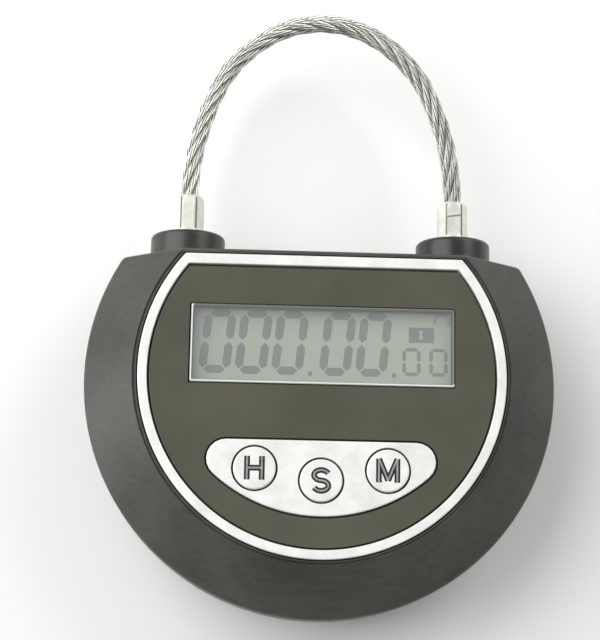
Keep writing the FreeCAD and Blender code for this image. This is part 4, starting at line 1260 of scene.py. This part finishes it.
def screw_setter(material):
    """Node group that sets a screw on each point of a mesh, with a turn of its own."""
    tree, sockets, (places, screw, flip, seed) = open_group(
        "screw_setter", ("Screw", "Object"), ("Flip", "Float"), ("Seed", "Int")
    )
    graph = Signal(tree)
    shape = graph.node("GeometryNodeObjectInfo", {"Object": screw}, out="Geometry")
    quarter = {"Min_001": 0.0, "Max_001": pi / 2, "Seed": seed}
    turn = graph.node("FunctionNodeRandomValue", quarter, out=1, data_type="FLOAT")
    aim = graph.node("ShaderNodeCombineXYZ", {"X": flip, "Z": turn})
    points = graph.node("GeometryNodeMeshToPoints", {"Mesh": places})
    values = {"Points": points, "Instance": shape, "Rotation": aim}
    close_group(graph.node("GeometryNodeInstanceOnPoints", values), material)
    return tree, sockets


def set_screws(name, places, screw, flip, seed):
    """Mesh of equal screws whose heads' outer faces lie at the places."""
    pattern = placed("screw_pattern", screw)
    dots = bpy.data.meshes.new(name)
    dots.from_pydata(places, [], [])
    return run_group(setter, dots, {"Screw": pattern, "Flip": flip, "Seed": seed}, pattern)


zinc_plate, graph, place = new_surface("zinc_plate")
cloud = noise(place, 900, 3)
clean = shade(cloud, (168, 172, 176), (206, 208, 206), 0.3, 0.7)
# Points on the cross's floor are painted near-black as shade in the recess.
surface(
    graph,
    Base_Color=mixed(stored(graph, "recess_shade"), clean, (26, 26, 25)),
    Metallic=1.0,
    Roughness=cloud * 0.22 + 0.22,
    Normal=bump(noise(place, 4000, 2), 0.006 * mm, 0.5),
)
setter = screw_setter(zinc_plate)

side_low, side_high = corners_of("housing_screws")
board_low, board_high = corners_of("board_screws")
plate_screw_low, plate_screw_high = corners_of("bracket_screws")
cover_middle = sum(corners_of("cover_screw"), Vector()) / 2
large_head = 1.75 * mm
board_head = 1.5 * mm
small_head = 1.4 * mm
side_x = side_high.x - large_head
side_y = side_high.y - large_head
low_x = 10.0 * mm
low_y = side_low.y + large_head
board_x = board_high.x - board_head
board_side_y = -11.0 * mm
board_low_y = board_low.y + board_head
side_places = [(-side_x, side_y), (side_x, side_y), (-low_x, low_y), (low_x, low_y)]
board_places = [(-board_x, board_side_y), (board_x, board_side_y), (0.0, board_low_y)]
plate_places = [
    (plate_screw_low.x + small_head, plate_screw_high.y - small_head),
    (plate_screw_high.x - small_head, plate_screw_low.y + small_head),
]
cover_places = [(cover_middle.x, cover_middle.y)]

for name, node, body, places, head_radius, head_height, shank_radius, flip, seed in (
    ("shell_screws", "housing_screws", "lock_body", side_places,
     large_head, 1.2 * mm, 0.95 * mm, 0.0, 3),
    ("board_fixings", "board_screws", "lock_body", board_places,
     board_head, 0.8 * mm, 0.8 * mm, 0.0, 5),
    ("plate_fixings", "bracket_screws", "lock_body", plate_places,
     small_head, 0.8 * mm, 0.7 * mm, pi, 8),
    ("cover_fixing", "cover_screw", "cover", cover_places,
     large_head, 0.7 * mm, 0.95 * mm, 0.0, 2),
):
    low, high = corners_of(node)
    screw = cross_screw(head_radius, head_height, shank_radius, high.z - low.z - head_height)
    head_z = high.z if flip else low.z
    mesh = set_screws(name, [(x, y, head_z) for x, y in places], screw, flip, seed)
    finished(name, mesh, zinc_plate, body, "screw_steel", node)

# ---------------------------------------------------------------------------
# Lock: a steel bolt with a rack, a brass gear pair, a can motor under a zinc
# plate, and the cast guide in which the bolt crosses the release pin.


def drawn(name, dark, light, base, shares, fine=7000):
    """Metal with fine lines along the axis that has the small share."""
    return two_scales(
        name, dark, light, (0.3, 0.7),
        (400, 3), (fine, 2), (0.12, 0.18, base), (0.008 * mm, 0.5), 1.0, shares,
    )


along_x = (0.06, 1.0, 1.0)
along_z = (1.0, 1.0, 0.08)
bolt_steel = drawn("bolt_steel", (150, 152, 154), (196, 197, 196), 0.22, along_x)
gear_brass = drawn("gear_brass", (190, 150, 84), (222, 186, 112), 0.22, along_z)
motor_can = drawn("motor_can", (176, 178, 180), (208, 209, 208), 0.26, along_z)
plate_zinc = drawn(
    "plate_zinc", (158, 161, 164), (196, 198, 198), 0.30, (0.08, 1.0, 1.0), 4000
)
guide_cast = moulded(
    "guide_cast", (150, 152, 153), (184, 186, 186), 0.34, 300, 1800, 1.0, 0.02 * mm
)

for name, node, material, body, slot in (
    ("bolt_bar", "lock_bolt", bolt_steel, "bolt", "bolt_steel"),
    ("gear_pair", "lock_gear", gear_brass, "gear", "gear_brass"),
    ("drive_pinion", "motor_pinion", gear_brass, "drive", "gear_brass"),
    ("drive_shaft", "motor_shaft", bolt_steel, "drive", "bolt_steel"),
    ("motor_case", "motor", motor_can, "lock_body", "motor_can"),
    ("lock_plate", "mechanism_plate", plate_zinc, "lock_body", "guide_zinc"),
    ("gear_post", "gear_axle", bolt_steel, "lock_body", "bolt_steel"),
    ("gear_washer", "gear_retainer", bolt_steel, "lock_body", "bolt_steel"),
    ("pin_guide", "release_guide", guide_cast, "lock_body", "guide_zinc"),
    ("pin_clip", "anchor_clip", bolt_steel, "shackle", "bolt_steel"),
):
    finished(name, smooth_copy(node), material, body, slot, node)

# ---------------------------------------------------------------------------
# Power: two small round cells side by side, between nickel-plated leaf springs
# and flat contacts.

steel_from = 0.965
cell_jacket, graph, place = new_surface("cell_jacket")
cells_low, cells_high = corners_of("battery_cells")
direction = (axis(place, "Y") - (cells_low.y + cells_high.y) / 2).maths("SIGN")
ahead = axis(place, "X") * direction / ((cells_high.x - cells_low.x) / 2)
jacket = shade(ahead, (46, 48, 52), (190, 128, 58), 0.42, 0.43)
steel = ahead.maths("ABSOLUTE").maths("GREATER_THAN", steel_from)
surface(
    graph,
    Base_Color=mixed(steel, jacket, (188, 190, 190)),
    Metallic=0.6,
    Roughness=noise(place, 600, 3) * 0.2 + 0.25,
)

cells = smooth_copy("battery_cells")
finished("cells", cells, cell_jacket, "lock_body", "cell_jacket", "battery_cells")
contact_nickel = drawn(
    "contact_nickel", (186, 186, 180), (216, 216, 208), 0.24, (1.0, 1.0, 0.1), 5000
)
dress(contact_nickel, "spring_contacts", "plate_contacts")
